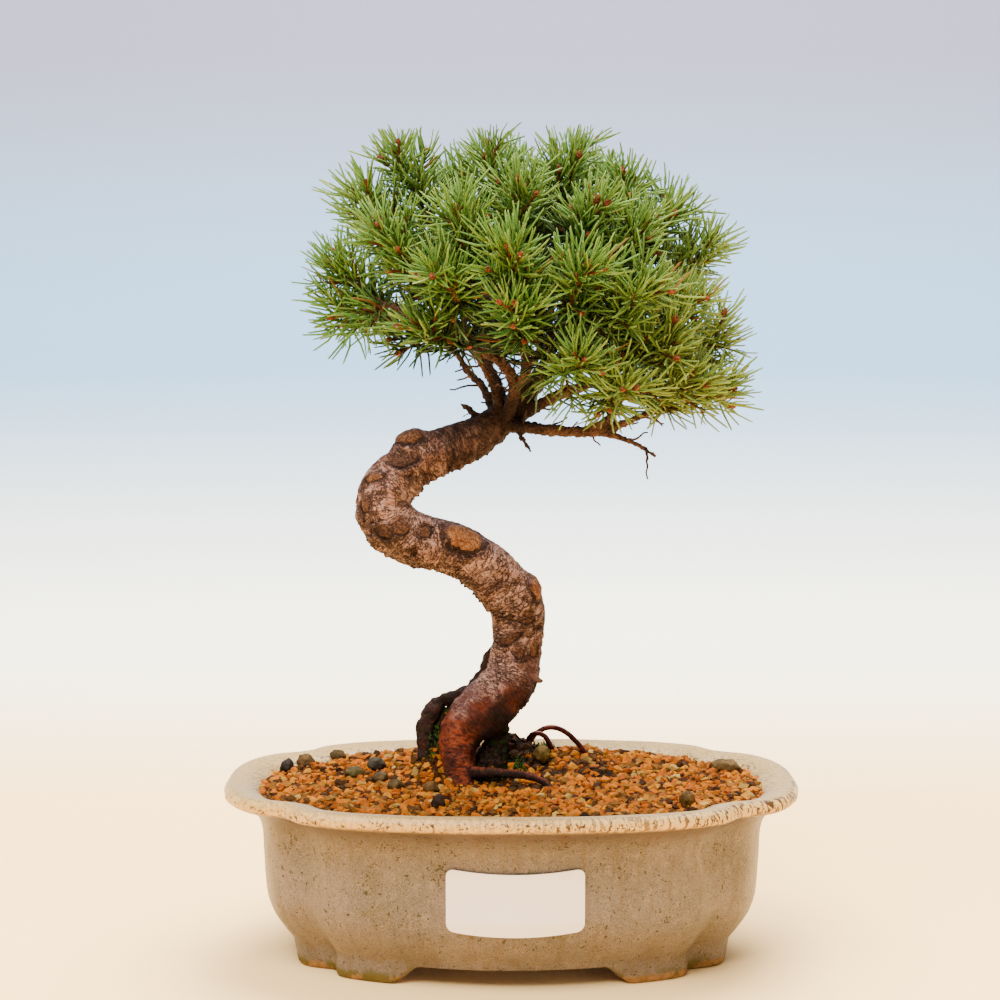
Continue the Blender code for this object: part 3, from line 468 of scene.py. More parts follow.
def potPoint(angle, inset, height):
    # A point of the lobed outline, inset in from the lip's edge
    cos, sin = math.cos(angle), math.sin(angle)
    x = (pot["length"] / 2 - inset) * math.copysign(abs(cos) ** (2 / pot["power"]), cos)
    y = (pot["depth"] / 2 - inset) * math.copysign(abs(sin) ** (2 / pot["power"]), sin)
    y += math.copysign(bulgeAt(x, height), y)
    crease = math.radians(np.interp(height, pot["creaseHeights"], pot["creaseAngles"]))
    turn = math.atan2(abs(sin), abs(cos)) - crease
    dent = math.exp(-(turn / math.radians(pot["creaseWidth"])) ** 2)
    dent = 1 - dent * np.interp(height, pot["creaseHeights"], pot["creaseDepths"])
    return x * dent, y * dent, height


def footDrop(angle):
    # 1 where a foot reaches the ground, 0 between the feet
    quarter = math.degrees(math.atan2(abs(math.sin(angle)), abs(math.cos(angle))))
    part = (quarter - pot["footFrom"]) / (pot["footTo"] - pot["footFrom"])
    drop = min(1, max(0, pot["footSlope"] * min(part, 1 - part)))
    return drop * drop * (3 - 2 * drop)


def potRings():
    # Each ring's inset, its height between the feet and on a foot, from the underside round to the floor
    under, skirt = pot["underside"], pot["outside"][0][0]
    low = [(inset, under, under) for inset in pot["underInsets"]]
    low += [(skirt + inset, under + rise, foot) for inset, rise, foot in pot["footRings"]]
    rows = smoothPath([(inset, 0, height) for inset, height in pot["outside"]], pot["profileStep"])
    wall = [(max(0.5, row[0]), row[2], row[2]) for row in rows]
    return low + wall + [(inset, pot["floor"], pot["floor"]) for inset in pot["floorInsets"]]


def buildPot():
    sides = pot["sides"]
    rings = potRings()
    verts = []
    edge = []
    unrolled = []
    # Share of the way round at each column, so that streaks keep one width at the corners
    lip = [Vector(potPoint(math.tau * (i + 0.5) / sides, 0.6, 55)) for i in range(sides + 1)]
    steps = np.cumsum([0] + [(b - a).length for a, b in zip(lip, lip[1:])])
    turns = steps / steps[-1] * math.tau
    reach = steps[-1] / math.tau
    gone = 0
    for k, (inset, between, onFoot) in enumerate(rings):
        if k:
            gone += math.hypot(inset - rings[k - 1][0], between - rings[k - 1][1])
        for i in range(sides):
            angle = math.tau * (i + 0.5) / sides
            z = between + (onFoot - between) * footDrop(angle)
            verts.append(potPoint(angle, inset, z))
            edge.append(math.exp(-(inset / pot["lipRound"]) ** 2) if z > pot["lipFrom"] else 0)
            unrolled.append((reach * math.cos(turns[i]) * mm, reach * math.sin(turns[i]) * mm, gone * mm))
    faces = [tuple(range(sides))[::-1], tuple(range(len(verts) - sides, len(verts)))]
    obj = newMesh("potBody", verts, faces + ringFaces(sides, len(rings)), glazeFinish())
    outwards(obj)
    keepAttribute(obj, "lipEdge", "FLOAT", edge)
    keepAttribute(obj, "unrolled", "FLOAT_VECTOR", unrolled)
    # Fired clay is never quite true: a slow wobble along the normals, none where the pot stands
    points = coordinates(obj)
    push = 0.8 * bumps(points, 16) + 0.35 * bumps(points, 5)
    push *= pot["wobble"] * np.clip((points[:, 2] - 1) / 8, 0, 1)
    points += normals(obj) * push[:, None]
    low, high = np.array([[c / mm for c in corner] for corner in cadBox])
    moveTo(obj, np.clip(points, low + pot["insideBox"], high - pot["insideBox"]))
    holes = []
    for x in (-pot["drainX"], pot["drainX"]):
        hole = newMesh("hole", *tube([(x, 0, z, pot["drainRadius"]) for z in (0, 10, 20)], 40, tip=0))
        outwards(hole)
        cut = obj.modifiers.new("cut", "BOOLEAN")
        cut.operation = "DIFFERENCE"
        cut.object = hole
        holes.append(hole)
    plainMesh(obj)
    for hole in holes:
        bpy.data.objects.remove(hole, do_unlink=True)
    obj.data.set_sharp_from_angle(angle=math.radians(50))
    print("pot", len(obj.data.polygons))
    place(obj, "pot_glaze", "pot")


def glazeFinish():
    f = Finish("speckledGlaze")
    across, height = f.axis(0), f.axis(2)
    flat = f.attribute("unrolled", "Vector")
    mottle = f.noise(3.0, 5, 0.65)
    runs = f.noise(2.6, 4, 0.55, f.stretched((1, 1, 0.12), flat))
    fine = f.noise(0.45, 4, 0.75)
    # Warm beige wall: clouds, vertical runs and a fine grain of pale and dark specks
    colour = f.mix(f.band(f.noise(20, 3), 0.36, 0.64), (170, 155, 142), (150, 139, 126))
    colour = f.coats(colour,
                     (f.band(mottle, 0.5, 0.62) * 0.5, (196, 175, 157)),
                     (f.band(runs, 0.50, 0.66) * 0.35, (132, 113, 84)),
                     (f.band(f.noise(9, 4, 0.6), 0.54, 0.68) * 0.35, (136, 120, 80)),
                     (f.band(fine, 0.56, 0.64) * 0.6, (230, 210, 184)),
                     (f.band(fine, 0.46, 0.38) * 0.75, (102, 85, 63)))
    # Paler, thicker glaze on the lip, painted brighter still as painted light, with rust flecks along its
    # edge, most of them to the right; a painted highlight on the rim's rounded edge and painted shade under
    # the lip
    edge = f.attribute("lipEdge")
    lip = f.band(height, 50.5, 54)
    underShade = f.band(height, 42, 50) * (1 - lip)
    right = f.band(across, -20, 75) * 0.75 + 0.25
    dashes = f.noise(0.95, 3, 0.55, f.stretched((1, 1, 0.28), flat))
    flecks = f.band(f.noise(0.9, 3, 0.6), 0.54, 0.57) * f.band(f.noise(4.0, 3), 0.42, 0.52)
    rust = f.most(f.band(dashes, 0.525, 0.545) * f.band(edge, 0.1, 0.5) * right,
                  flecks * f.band(height, 50.5, 52) * f.band(height, 57, 55.4))
    drips = f.noise(1.3, 3, 0.5, f.stretched((1, 1, 0.08), flat))
    drips = f.band(drips, 0.58, 0.66) * f.band(height, 30, 50) * right
    colour = f.coats(colour,
                     # Paler glaze on the lip, painted brighter still as painted light
                     (lip * 0.85,
                      f.mix(f.band(fine, 0.45, 0.60), (188, 158, 100, 0.6), (246, 210, 134, 0.66))),
                     # Painted highlight on the rim's rounded edge
                     (f.band(edge, 0.3, 0.9) * 0.5, (250, 210, 138, 0.8)),
                     # Painted shade under the lip
                     (underShade * 0.7, (96, 80, 72)),
                     (rust * 0.95, (84, 50, 22)),
                     (drips * 0.6 * (1 - lip), (140, 92, 46)))
    # Dark specks everywhere, in swarms below the lip, with bits of moss and short fibres
    grit = f.noise(0.62, 2, 0.5)
    swarm = f.band(f.noise(9, 3), 0.56, 0.62) * f.band(height, 18, 46) * (1 - lip)
    specks = f.most(f.band(grit, 0.665, 0.68) * 0.9, f.band(grit, 0.58, 0.61) * swarm)
    bits = f.band(f.noise(1.5, 3, 0.6), 0.64, 0.66) * (1 - lip)
    hairs = f.dots(7.0, 0.12, 0.3, f.warped(f.stretched((4.0, 4.0, 0.8)), 6.0, 5.0)) * (1 - lip)
    # Dirt low on the wall and bare clay on the feet, with green on their edges
    damp = f.band(height, 22, 4) * f.band(f.noise(6, 4, 0.6), 0.4, 0.66)
    ragged = height + f.noise(4, 3) * 2.8
    bare = f.band(ragged, 4.6, 3.2)
    green = f.band(ragged, 6.0, 3.8) * f.band(f.noise(5, 4, 0.6), 0.44, 0.54)
    tufts = f.dots(15, 0.055, 0.5, f.warped(f.point, 1.5, 1.5))
    colour = f.coats(colour,
                     (specks * 0.9, (52, 40, 28)),
                     (bits * 0.9, f.mix(f.band(mottle, 0.46, 0.54), (34, 28, 20), (56, 56, 26))),
                     (hairs * 0.9, (48, 42, 24)),
                     (damp * 0.45, (122, 104, 62)),
                     (bare, f.mix(f.band(f.noise(2.2, 4), 0.4, 0.65), (206, 164, 112), (172, 136, 84))),
                     (green * 0.8, (118, 112, 44)),
                     (tufts * 0.9, (76, 96, 34)))
    rough = f.band(mottle, 0.3, 0.8) * 0.14 + 0.36 + bare * 0.45 + specks * 0.1
    relief = f.noise(5.5, 2) * 0.5 + fine * 0.2 + bare * f.noise(0.9, 4) * 0.4 - specks * 0.15
    return f.finish(colour, rough, relief, 0.28, 0.25, Coat_Weight=0.05, Coat_Roughness=0.3)


# The paper label, bare

label = {"x": 1.0, "width": 41, "low": 18.8, "high": 38.0, "rise": 1.8, "corner": 2.4, "offWall": 0.55,
         "thickness": 0.34, "curl": 1.2, "curlFrom": 0.9, "columns": 52, "rows": 26}


def labelPoint(i, j, out):
    # A point of the sheet this far off the wall; its corners are rounded, and the upper ones lift a little
    half = Vector((label["width"] / 2, (label["high"] - label["low"]) / 2))
    spot = Vector((half.x * (2 * i / label["columns"] - 1), half.y * (2 * j / label["rows"] - 1)))
    hub = Vector([math.copysign(h - label["corner"], s) for h, s in zip(half, spot)])
    beyond = spot - hub
    if beyond.x * spot.x > 0 and beyond.y * spot.y > 0 and beyond.length > label["corner"]:
        spot = hub + beyond.normalized() * label["corner"]
    share = spot.x / half.x
    x = label["x"] + spot.x
    z = (label["low"] + label["high"]) / 2 + spot.y + label["rise"] * share ** 2
    inset = wallInset(z)
    a, b = pot["length"] / 2 - inset, pot["depth"] / 2 - inset
    wall = b * (1 - abs(x / a) ** pot["power"]) ** (1 / pot["power"])
    lift = label["curl"] * max(0, abs(share) - label["curlFrom"]) * max(0, spot.y / half.y)
    return x, -wall - bulgeAt(x, z) - out - lift, z


def buildLabel():
    wide, high = label["columns"], label["rows"]
    sheets = (label["offWall"], label["offWall"] + label["thickness"])
    verts = [labelPoint(i, j, out) for out in sheets for j in range(high + 1) for i in range(wide + 1)]
    size = len(verts) // 2
    faces = []
    for j in range(high):
        for i in range(wide):
            a = j * (wide + 1) + i
            quad = (a, a + 1, a + wide + 2, a + wide + 1)
            faces += [quad[::-1], tuple(size + k for k in quad)]
    rim = list(range(wide + 1)) + [j * (wide + 1) + wide for j in range(1, high + 1)]
    rim += [high * (wide + 1) + i for i in range(wide - 1, -1, -1)]
    rim += [j * (wide + 1) for j in range(high - 1, 0, -1)]
    faces += [(a, b, b + size, a + size) for a, b in zip(rim, rim[1:] + rim[:1])]
    obj = newMesh("paperLabel", verts, faces, paperFinish())
    outwards(obj)
    obj.data.set_sharp_from_angle(angle=math.radians(40))
    place(obj, "label_paper", "label")


def wallInset(height):
    rows = pot["outside"][:11]
    return float(np.interp(height, [row[1] for row in rows], [row[0] for row in rows]))


def paperFinish():
    f = Finish("coatedPaper")
    fibre = f.noise(0.8, 5, 0.7)
    stain = f.band(f.noise(9, 3), 0.52, 0.78)
    colour = f.mix(stain * 0.25, (248, 240, 236, 1), (236, 224, 214, 1))
    colour = f.mix(f.band(fibre, 0.55, 0.8) * 0.12, colour, (226, 216, 210, 1))
    return f.finish(colour, 0.42 + fibre * 0.12, fibre, 0.03)


# Wood: x, y, z and radius along each piece

wood = {
    "trunk": [(-14.6, 4, 29, 11.5), (-15, 3.6, 39, 9.2), (-16.2, 3, 51.5, 6.3), (-16.9, 4, 58.4, 6.0),
              (-17.2, 5, 64, 6.2), (-15.4, 6, 69.5, 6.9), (-10.5, 8, 74.9, 8.1), (-4.5, 10, 80.3, 8.6),
              (0, 12, 86.6, 8.4), (1.4, 13, 93.7, 8.1), (1.6, 13, 101.2, 8.1), (1.1, 11, 109.9, 8.4),
              (-3.5, 8, 117, 8.3), (-10.4, 4, 124.3, 8.1), (-20, 0, 129.8, 8.0), (-28.3, -3, 132, 8.1),
              (-35.3, -5, 135.8, 8.4), (-39.2, -6, 141.4, 8.5), (-38.2, -5, 148.2, 8.4),
              (-31.7, -2, 154.8, 7.8), (-25.2, 0, 158.2, 7.3), (-18.5, 3, 160.7, 6.8),
              (-9.8, 6, 164.2, 6.1), (-3.5, 8, 169.2, 5.0), (-1, 8, 174, 3.2)],
    "kneeRoot": [(-3, 13, 98, 1.3), (-7.4, 13.4, 92.6, 1.6), (-9.8, 13.8, 86.2, 1.7),
                 (-15.4, 12.6, 81.4, 1.8), (-21.1, 11, 79.2, 2.4), (-25.6, 10, 75, 3.3),
                 (-27.4, 9, 69.5, 3.5), (-27.3, 8, 63, 3.2), (-26, 8, 55, 3.0), (-25, 8, 44, 2.4),
                 (-24, 9, 34, 1.3)],
    "frontRoot": [(-16, 3, 57.5, 2.3), (-9, -1.4, 58.3, 2.1), (-1, -2.4, 58.2, 1.8), (6.5, -3.4, 57.4, 1.6),
                  (11.5, -4, 54.6, 1.2), (16, -4.4, 47, 0.8)],
    "limbs": [
        [(-5, 10, 169, 1.7), (-8.6, 15, 177.9, 1.6), (-13.4, 18, 183, 1.4), (-16.6, 20, 188, 1.2),
         (-21, 24, 196, 0.9)],
        [(-3.5, 6, 169, 2.3), (-4.5, 4, 176.9, 2.0), (-7.6, 0, 183.9, 1.6), (-10.4, -4, 189, 1.4),
         (-14, -12, 198, 1.2), (-16, -20, 207, 0.9)],
        [(-2, 5, 168, 2.8), (0.8, -3, 177.5, 2.4), (-0.6, -8, 184, 2.1), (-6.5, -12, 189.8, 1.8),
         (-13.9, -12, 192.2, 1.6), (-21, -11, 194.8, 1.5), (-29, -8, 200.1, 1.3),
         (-37, -5, 204.4, 1.0)],
        [(-1, 7, 170, 2.8), (3.3, 4, 178.5, 2.2), (4.4, 2, 186, 1.9), (3.8, 2, 197, 1.6),
         (4.4, 0, 209.1, 1.4), (5.6, 0, 221.2, 1.2), (5, -1, 231, 0.9)],
        [(-2, 5, 167.5, 3.0), (5, -2, 166.9, 2.4), (14, -6, 166.2, 2.1), (25.2, -10, 166.2, 1.9),
         (32, -12, 168, 1.5), (40, -13, 171.4, 1.3), (50, -13, 173.4, 1.0)],
        [(25, -10, 166.2, 1.6), (30.4, -12, 165.2, 1.2), (37.6, -14, 162.7, 1.0), (43.5, -16, 159.1, 0.8)],
        [(22, -9, 166, 1.6), (29.4, -13, 170.4, 1.6), (32.4, -16, 176.5, 1.4), (33.6, -20, 184, 1.1)],
        [(-1, 7, 169, 2.6), (7, 4, 178, 2.2), (15, 4, 187, 1.9), (25, 4, 198, 1.6), (36, 4, 209, 1.3),
         (43, 3, 216, 0.9)],
        [(0, 6, 168.5, 2.6), (12, 0, 175.5, 2.1), (25, -2, 181, 1.8), (38, 0, 187.5, 1.4),
         (48, 2, 192, 1.0)],
        [(-2, 8, 169, 2.4), (-5, 16, 181, 2.0), (-13, 23, 192, 1.7), (-21, 27, 204, 1.3),
         (-26, 29, 214, 0.9)],
        [(-1, 9, 169, 2.4), (7, 18, 181, 2.0), (15, 25, 192, 1.7), (24, 29, 204, 1.3),
         (29, 31, 214, 0.9)],
        [(4, 2, 190, 1.6), (-5, 1, 203, 1.6), (-15, -1, 215, 1.4), (-24, -2, 227, 1.0)],
        [(1, -4, 178.5, 1.8), (6, -14, 187, 1.6), (12, -23, 196, 1.3), (16, -29, 203, 1.0)],
    ],
    "deadStubs": [[(-8, 7, 167, 1.4), (-13.6, 6, 172.4, 1.2), (-15.6, 5, 173.4, 0.8)],
                  [(-6, 4, 169, 0.7), (-11, 2, 171.4, 0.6), (-16, 1, 169.8, 0.5)],
                  [(1, 2, 167, 1.1), (3.4, -3, 163.4, 0.9), (6, -5, 159.6, 0.8)],
                  [(4, 12, 86, 1.8), (8, 9.6, 85.8, 1.4), (9.8, 8.9, 85.4, 0.9)]],
    # Branch scars: where, which way they look, half width and height, tilt, rise, how orange
    "scars": [((-14.7, -5.2, 133.0), (0.3, -0.85, 0.42), 6.8, 4.6, -12, 1.0, 1.0),
              ((7.3, 6.5, 115.4), (0.55, -0.83, 0.1), 2.9, 4.2, 0, 1.7, 0.85),
              ((-31, -2.6, 163.4), (-0.15, -0.35, 0.92), 5.0, 4.0, 0, 2.8, 0.2),
              ((-32.5, -9.2, 157.8), (0.03, -0.87, 0.49), 4.4, 2.6, 15, -0.2, 0.05),
              ((-42.2, -11, 152.4), (-0.48, -0.72, 0.51), 3.0, 1.5, 20, 0.4, 0.6),
              ((-44.7, -12.5, 144), (-0.62, -0.78, 0.09), 1.8, 2.4, -15, 0.3, 0.15),
              ((-38.3, -13.5, 135.9), (-0.07, -0.95, -0.31), 2.4, 2.2, 0, 0.2, 0.0),
              ((-33.7, -13.1, 137.3), (0.33, -0.94, 0.06), 2.8, 2.4, 0, 0.5, 0.1),
              ((-30.1, -11.1, 129.7), (0.13, -0.89, -0.43), 1.3, 1.7, 0, -0.6, 0.0),
              ((-26.5, -10.2, 135.6), (0.46, -0.82, 0.34), 2.6, 2.0, 40, 0.2, 0.1),
              ((5.3, 4.5, 105.5), (0.44, -0.86, -0.25), 2.6, 1.0, 0, -0.2, 0.0),
              ((-0.2, 5.4, 99.8), (-0.23, -0.97, -0.11), 4.0, 1.6, 35, 0.5, 0.1),
              ((2.4, 5.3, 95.2), (0.12, -0.99, 0.07), 1.8, 2.2, 0, 0.1, 0.12),
              ((3.1, 5.1, 92.6), (0.23, -0.97, 0.11), 2.0, 0.4, 0, -0.3, 0.0),
              ((7.9, 8.1, 95.9), (0.78, -0.62, -0.03), 1.6, 2.6, 0, 0.1, 0.3),
              ((5.3, 4.1, 107.8), (0.47, -0.87, -0.15), 1.6, 1.2, 0, 0.3, 0.35)],
    "backScars": 10, "scarSeed": 4,
    "skinSize": 0.54, "limbShare": 0.86, "trunkStep": 2.0, "limbStep": 1.6, "twigStep": 1.5,
    "lumpDepth": 0.6, "flakeDepth": 0.5, "crackDepth": 0.55, "foldDepth": 0.22, "wartDepth": 0.6,
    "pegDepth": 0.4,
    "forkShade": (1, 6, 173), "twigShade": (1, 6, 171),
    "deadTwigs": 62, "deadTwigHub": (2, 3, 172), "deadTwigFrom": 5, "deadTwigReach": 24, "deadTwigBelow": 173,
}


# Crown: the shoots seen from the front, then the rest by rule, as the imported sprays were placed

crown = {
    "hub": (6, 3, 200),
    "masses": [((4, 1, 214), (56, 43, 37)), ((42, -1, 193), (26, 36, 24)), ((-33, 2, 220), (22, 33, 21))],
    "frontTips": [(-34.7, 0, 248), (-7, -4, 249.5), (18.7, -2, 249.5), (35.8, -2, 239.8),
                  (49.8, -2, 232.5), (60.2, -2, 221.6), (-46, -4, 236), (-54.5, -2, 215), (-43, -6, 205),
                  (-27, -25, 198), (-22, -38, 214), (-15.5, -30, 230), (2, -24, 238), (24, -24, 232),
                  (38, -20, 226), (-1, -43, 219), (1, -44, 203), (20.8, -44, 214), (38, -41, 209),
                  (20, -43, 188), (53, -26, 205), (46, -32, 192), (62.5, -10, 194), (55, -26, 180),
                  (64, -9, 178), (34, -38, 180)],
    "spacing": 20.5, "tries": 160, "lowestLook": -0.34, "count": 41, "depthLimit": 44, "seed": 11,
    "leaderLength": 16, "leaderOverlap": 2, "leaderTries": 60, "leaderShake": 0.015, "leaderRoom": 0.9,
    "leaderRadii": (1.15, 0.75), "leaderLift": 0.42, "budLength": 2.2, "clearance": 0.2,
    "twigStep": 12, "twigRoom": 1.3, "twigWidest": 1.25, "twigTip": 0.7, "twigChoices": 80, "limbStep": 5,
}


def crownReach(look):
    far = 0
    for centre, half in crown["masses"]:
        scale = Vector((1 / half[0], 1 / half[1], 1 / half[2]))
        start = (Vector(crown["hub"]) - Vector(centre)) * scale
        ray = look * scale
        a, b, c = ray.dot(ray), start.dot(ray), start.dot(start) - 1
        inside = b * b - a * c
        if inside > 0:
            far = max(far, (math.sqrt(inside) - b) / a)
    return far


def shootTips():
    tips = [Vector(tip) for tip in crown["frontTips"]]
    rng = random.Random(crown["seed"])
    for k in range(crown["tries"]):
        z = 1 - (1 - crown["lowestLook"]) * (k + 0.5) / crown["tries"]
        angle = k * goldenAngle
        flat = math.sqrt(1 - z * z)
        look = Vector((flat * math.cos(angle), flat * math.sin(angle), z))
        tip = Vector(crown["hub"]) + look * crownReach(look) * rng.uniform(0.94, 1.0)
        tip.y = max(-crown["depthLimit"], min(crown["depthLimit"], tip.y))
        apart = min((tip - other).length for other in tips)
        if len(tips) < crown["count"] and apart > crown["spacing"]:
            tips.append(tip)
    return tips


class Clear:
    # Straight pieces with a radius at each end, and whether a new one stays clear of them
    def __init__(self):
        self.rows = np.zeros((0, 9))

    def add(self, start, end, radiusA, radiusB, owner):
        row = np.array([*start, *end, radiusA, radiusB, owner], dtype=float)
        self.rows = np.vstack((self.rows, row))

    def free(self, start, end, radiusA, radiusB, skip=()):
        rows = self.rows
        for owner in skip:
            rows = rows[rows[:, 8] != owner]
        if not len(rows):
            return True
        p, q = np.array(start), np.array(end)
        d1 = q - p
        d2 = rows[:, 3:6] - rows[:, 0:3]
        r = p - rows[:, 0:3]
        a = d1 @ d1
        e = np.einsum("ij,ij->i", d2, d2)
        b = d2 @ d1
        c = r @ d1
        f = np.einsum("ij,ij->i", d2, r)
        denominator = np.maximum(a * e - b * b, 1e-9)
        s = np.clip((b * f - c * e) / denominator, 0, 1)
        t = np.clip((b * s + f) / e, 0, 1)
        s = np.clip((b * t - c) / a, 0, 1)
        gap = np.linalg.norm(r + s[:, None] * d1 - t[:, None] * d2, axis=1)
        width = radiusA + (radiusB - radiusA) * s + rows[:, 6] + (rows[:, 7] - rows[:, 6]) * t
        return bool(np.all(gap > width + crown["clearance"]))


def placeLeaders(tips, limbs, clear):
    # The foot and heading of every leading shoot, clear of the limbs and of each other
    for path in limbs:
        for a, b in zip(path, path[1:]):
            clear.add(a[:3], b[:3], a[3], b[3], -1)
    rng = random.Random(crown["seed"])
    feet = []
    wide = crown["leaderRadii"][0] + crown["leaderRoom"]
    reach = crown["leaderLength"] + crown["budLength"]
    shake = crown["leaderShake"]
    for n, tip in enumerate(tips):
        straight = ((tip - Vector(crown["hub"])).normalized() + up * crown["leaderLift"]).normalized()
        for attempt in range(crown["leaderTries"]):
            stray = Vector([rng.uniform(-shake, shake) for i in range(3)]) * attempt
            heading = (straight + stray).normalized()
            foot = tip - straight * (crown["leaderLength"] - crown["leaderOverlap"] - 0.2 * attempt)
            if clear.free(foot, foot + heading * reach, wide, wide):
                break
        clear.add(foot, foot + heading * reach, *crown["leaderRadii"], n)
        feet.append((foot, heading))
    return feet


def twigPath(spot, foot, heading):
    start, along, radius = spot
    reach = (foot - start).length
    first = start + (along * 0.6 + (foot - start).normalized() * 0.4) * reach * 0.35
    second = foot - heading * reach * 0.42
    thick = min(radius * 0.85, crown["twigWidest"])
    count = max(2, round(reach / crown["twigStep"]))
    path = []
    for k in range(count + 1):
        t = k / count
        point = start * (1 - t) ** 3 + first * 3 * t * (1 - t) ** 2 \
            + second * 3 * t * t * (1 - t) + foot * t ** 3
        path.append((*point, thick + (crown["twigTip"] - thick) * t))
    return path


def growTwigs(feet, limbs, clear):
    # A twig from well-placed wood near by to each shoot's foot, the inner ones first
    ready = []
    for path in limbs:
        for a, b in zip(path[1:], path[2:] + [path[-1] * 2 - path[-2]]):
            ready.append((Vector(a[:3]), Vector((b - a)[:3]).normalized(), a[3]))
    twigs = {}
    hub = Vector(crown["hub"])
    room = crown["twigRoom"]
    for n in sorted(range(len(feet)), key=lambda n: (feet[n][0] - hub).length):
        foot, heading = feet[n]

        def cost(spot):
            gap = foot - spot[0]
            turn = 1 - spot[1].dot(gap.normalized()) if gap.length > 1 else 0
            late = 1 - heading.dot(gap.normalized()) if gap.length > 1 else 0
            return gap.length * (1 + 0.5 * turn + 0.7 * late) + (30 if gap.length < 3 else 0)

        for spot in sorted(ready, key=cost)[:crown["twigChoices"]]:
            path = twigPath(spot, foot, heading)
            pairs = [(Vector(a[:3]), Vector(b[:3])) for a, b in zip(path, path[1:])]
            if all(clear.free(a, b, room, room, (n, -1)) for a, b in pairs):
                break
        twigs[n] = path
        for a, b in zip(path[1:-1], path[2:]):
            ready.append((Vector(a[:3]), (Vector(b[:3]) - Vector(a[:3])).normalized(), a[3]))
    return [twigs[n] for n in range(len(feet))]


# The trunk's skin: one voxel skin over trunk, roots and limbs, then bark pushed out of it by rule

def woodRelief(k, angle):
    turn = k * wood["trunkStep"] / 6
    return 0.035 * math.sin(3 * angle + 0.31 * turn) + 0.03 * math.sin(5 * angle - 0.53 * turn) \
        + 0.03 * math.sin(0.9 * turn)


def voxelSkin(obj, size):
    skin = obj.modifiers.new("skin", "REMESH")
    skin.mode = "VOXEL"
    skin.voxel_size = size * mm
    plainMesh(obj)


def relax(obj, steps=4, amount=0.5):
    # Each point of a skin goes part of the way to the middle of its neighbours
    points = coordinates(obj)
    edges = np.zeros(len(obj.data.edges) * 2, np.int32)
    obj.data.edges.foreach_get("vertices", edges)
    edges = edges.reshape(-1, 2)
    degree = np.bincount(edges.ravel(), minlength=len(points)).astype(float)
    for k in range(steps):
        total = np.zeros_like(points)
        for axis in range(3):
            total[:, axis] = np.bincount(edges[:, 0], points[edges[:, 1], axis], len(points))
            total[:, axis] += np.bincount(edges[:, 1], points[edges[:, 0], axis], len(points))
        points = points + (total / degree[:, None] - points) * amount
    moveTo(obj, points)
    return points


def routeSamples():
    # Every millimetre of the wood: place, direction, side, radius, distance along, kind
    rows = []
    pieces = [(wood["trunk"], 0), (wood["kneeRoot"], 1), (wood["frontRoot"], 2)]
    pieces += [(limb, 3) for limb in wood["limbs"]] + [(stub, 4) for stub in wood["deadStubs"]]
    for points, kind in pieces:
        path = smoothPath(points, 1.0)
        along = 0
        side = None
        for k, row in enumerate(path):
            ahead = Vector(path[min(k + 1, len(path) - 1)][:3]) - Vector(path[max(k - 1, 0)][:3])
            ahead.normalize()
            side = (ahead.orthogonal() if side is None else side - ahead * side.dot(ahead)).normalized()
            if k:
                along += np.linalg.norm(row[:3] - path[k - 1][:3])
            rows.append([*row[:3], *ahead, *side, row[3], along, kind])
    return np.array(rows)


def nearestRoute(points):
    # For each point: distance along, angle round, radius and kind of the wood it belongs to
    samples = routeSamples()
    found = np.zeros(len(points), np.int64)
    for low in range(0, len(points), 8000):
        part = points[low:low + 8000]
        gap = (part ** 2).sum(1)[:, None] + (samples[:, :3] ** 2).sum(1) - 2 * part @ samples[:, :3].T
        found[low:low + 8000] = np.argmin(np.sqrt(np.maximum(gap, 0)) - samples[:, 9], axis=1)
    route = samples[found]
    out = points - route[:, :3]
    ahead, side = route[:, 3:6], route[:, 6:9]
    other = np.cross(ahead, side)
    angle = np.arctan2((out * other).sum(1), (out * side).sum(1))
    along = route[:, 10] + (out * ahead).sum(1)
    return along, angle, route[:, 9], route[:, 11].astype(int)


def smoothStep(value, low, high):
    t = np.clip((value - low) / (high - low), 0, 1)
    return t * t * (3 - 2 * t)


def bumps(points, size, shift=0.0):
    # Smooth noise, about -1 to 1, with lumps of this size in millimetres
    return np.array([noise.noise(Vector(row)) for row in (points / size + shift).tolist()])


def scarFrame(look, tilt):
    # A scar's outward, crosswise and upright directions
    out = Vector(look).normalized()
    across = up.cross(out).normalized()
    upright = out.cross(across)
    cos, sin = math.cos(math.radians(tilt)), math.sin(math.radians(tilt))
    return np.array(out), np.array(across * cos + upright * sin), np.array(upright * cos - across * sin)


def backScars():
    # A few more scars on the side that the photo doesn't show
    rng = random.Random(wood["scarSeed"])
    path = smoothPath(wood["trunk"], wood["trunkStep"])
    made = []
    for k in range(wood["backScars"]):
        n = int(len(path) * (0.24 + 0.7 * (k + rng.random()) / wood["backScars"]))
        ahead = Vector((path[n + 1] - path[n - 1])[:3]).normalized()
        side = ahead.cross(Vector((0, 1, 0))).normalized()
        turn = rng.uniform(-1.1, 1.1)
        look = Vector((0, 1, 0)) * math.cos(turn) + side * math.sin(turn)
        look = (look - ahead * look.dot(ahead)).normalized()
        centre = Vector(path[n][:3]) + look * path[n][3]
        wide = rng.uniform(1.8, 4.6)
        made.append((tuple(centre), tuple(look), wide, wide * rng.uniform(0.6, 1.2), rng.uniform(-40, 40),
                     rng.uniform(-0.2, 1.1), rng.choice((0.0, 0.1, 0.4, 0.9))))
    return made


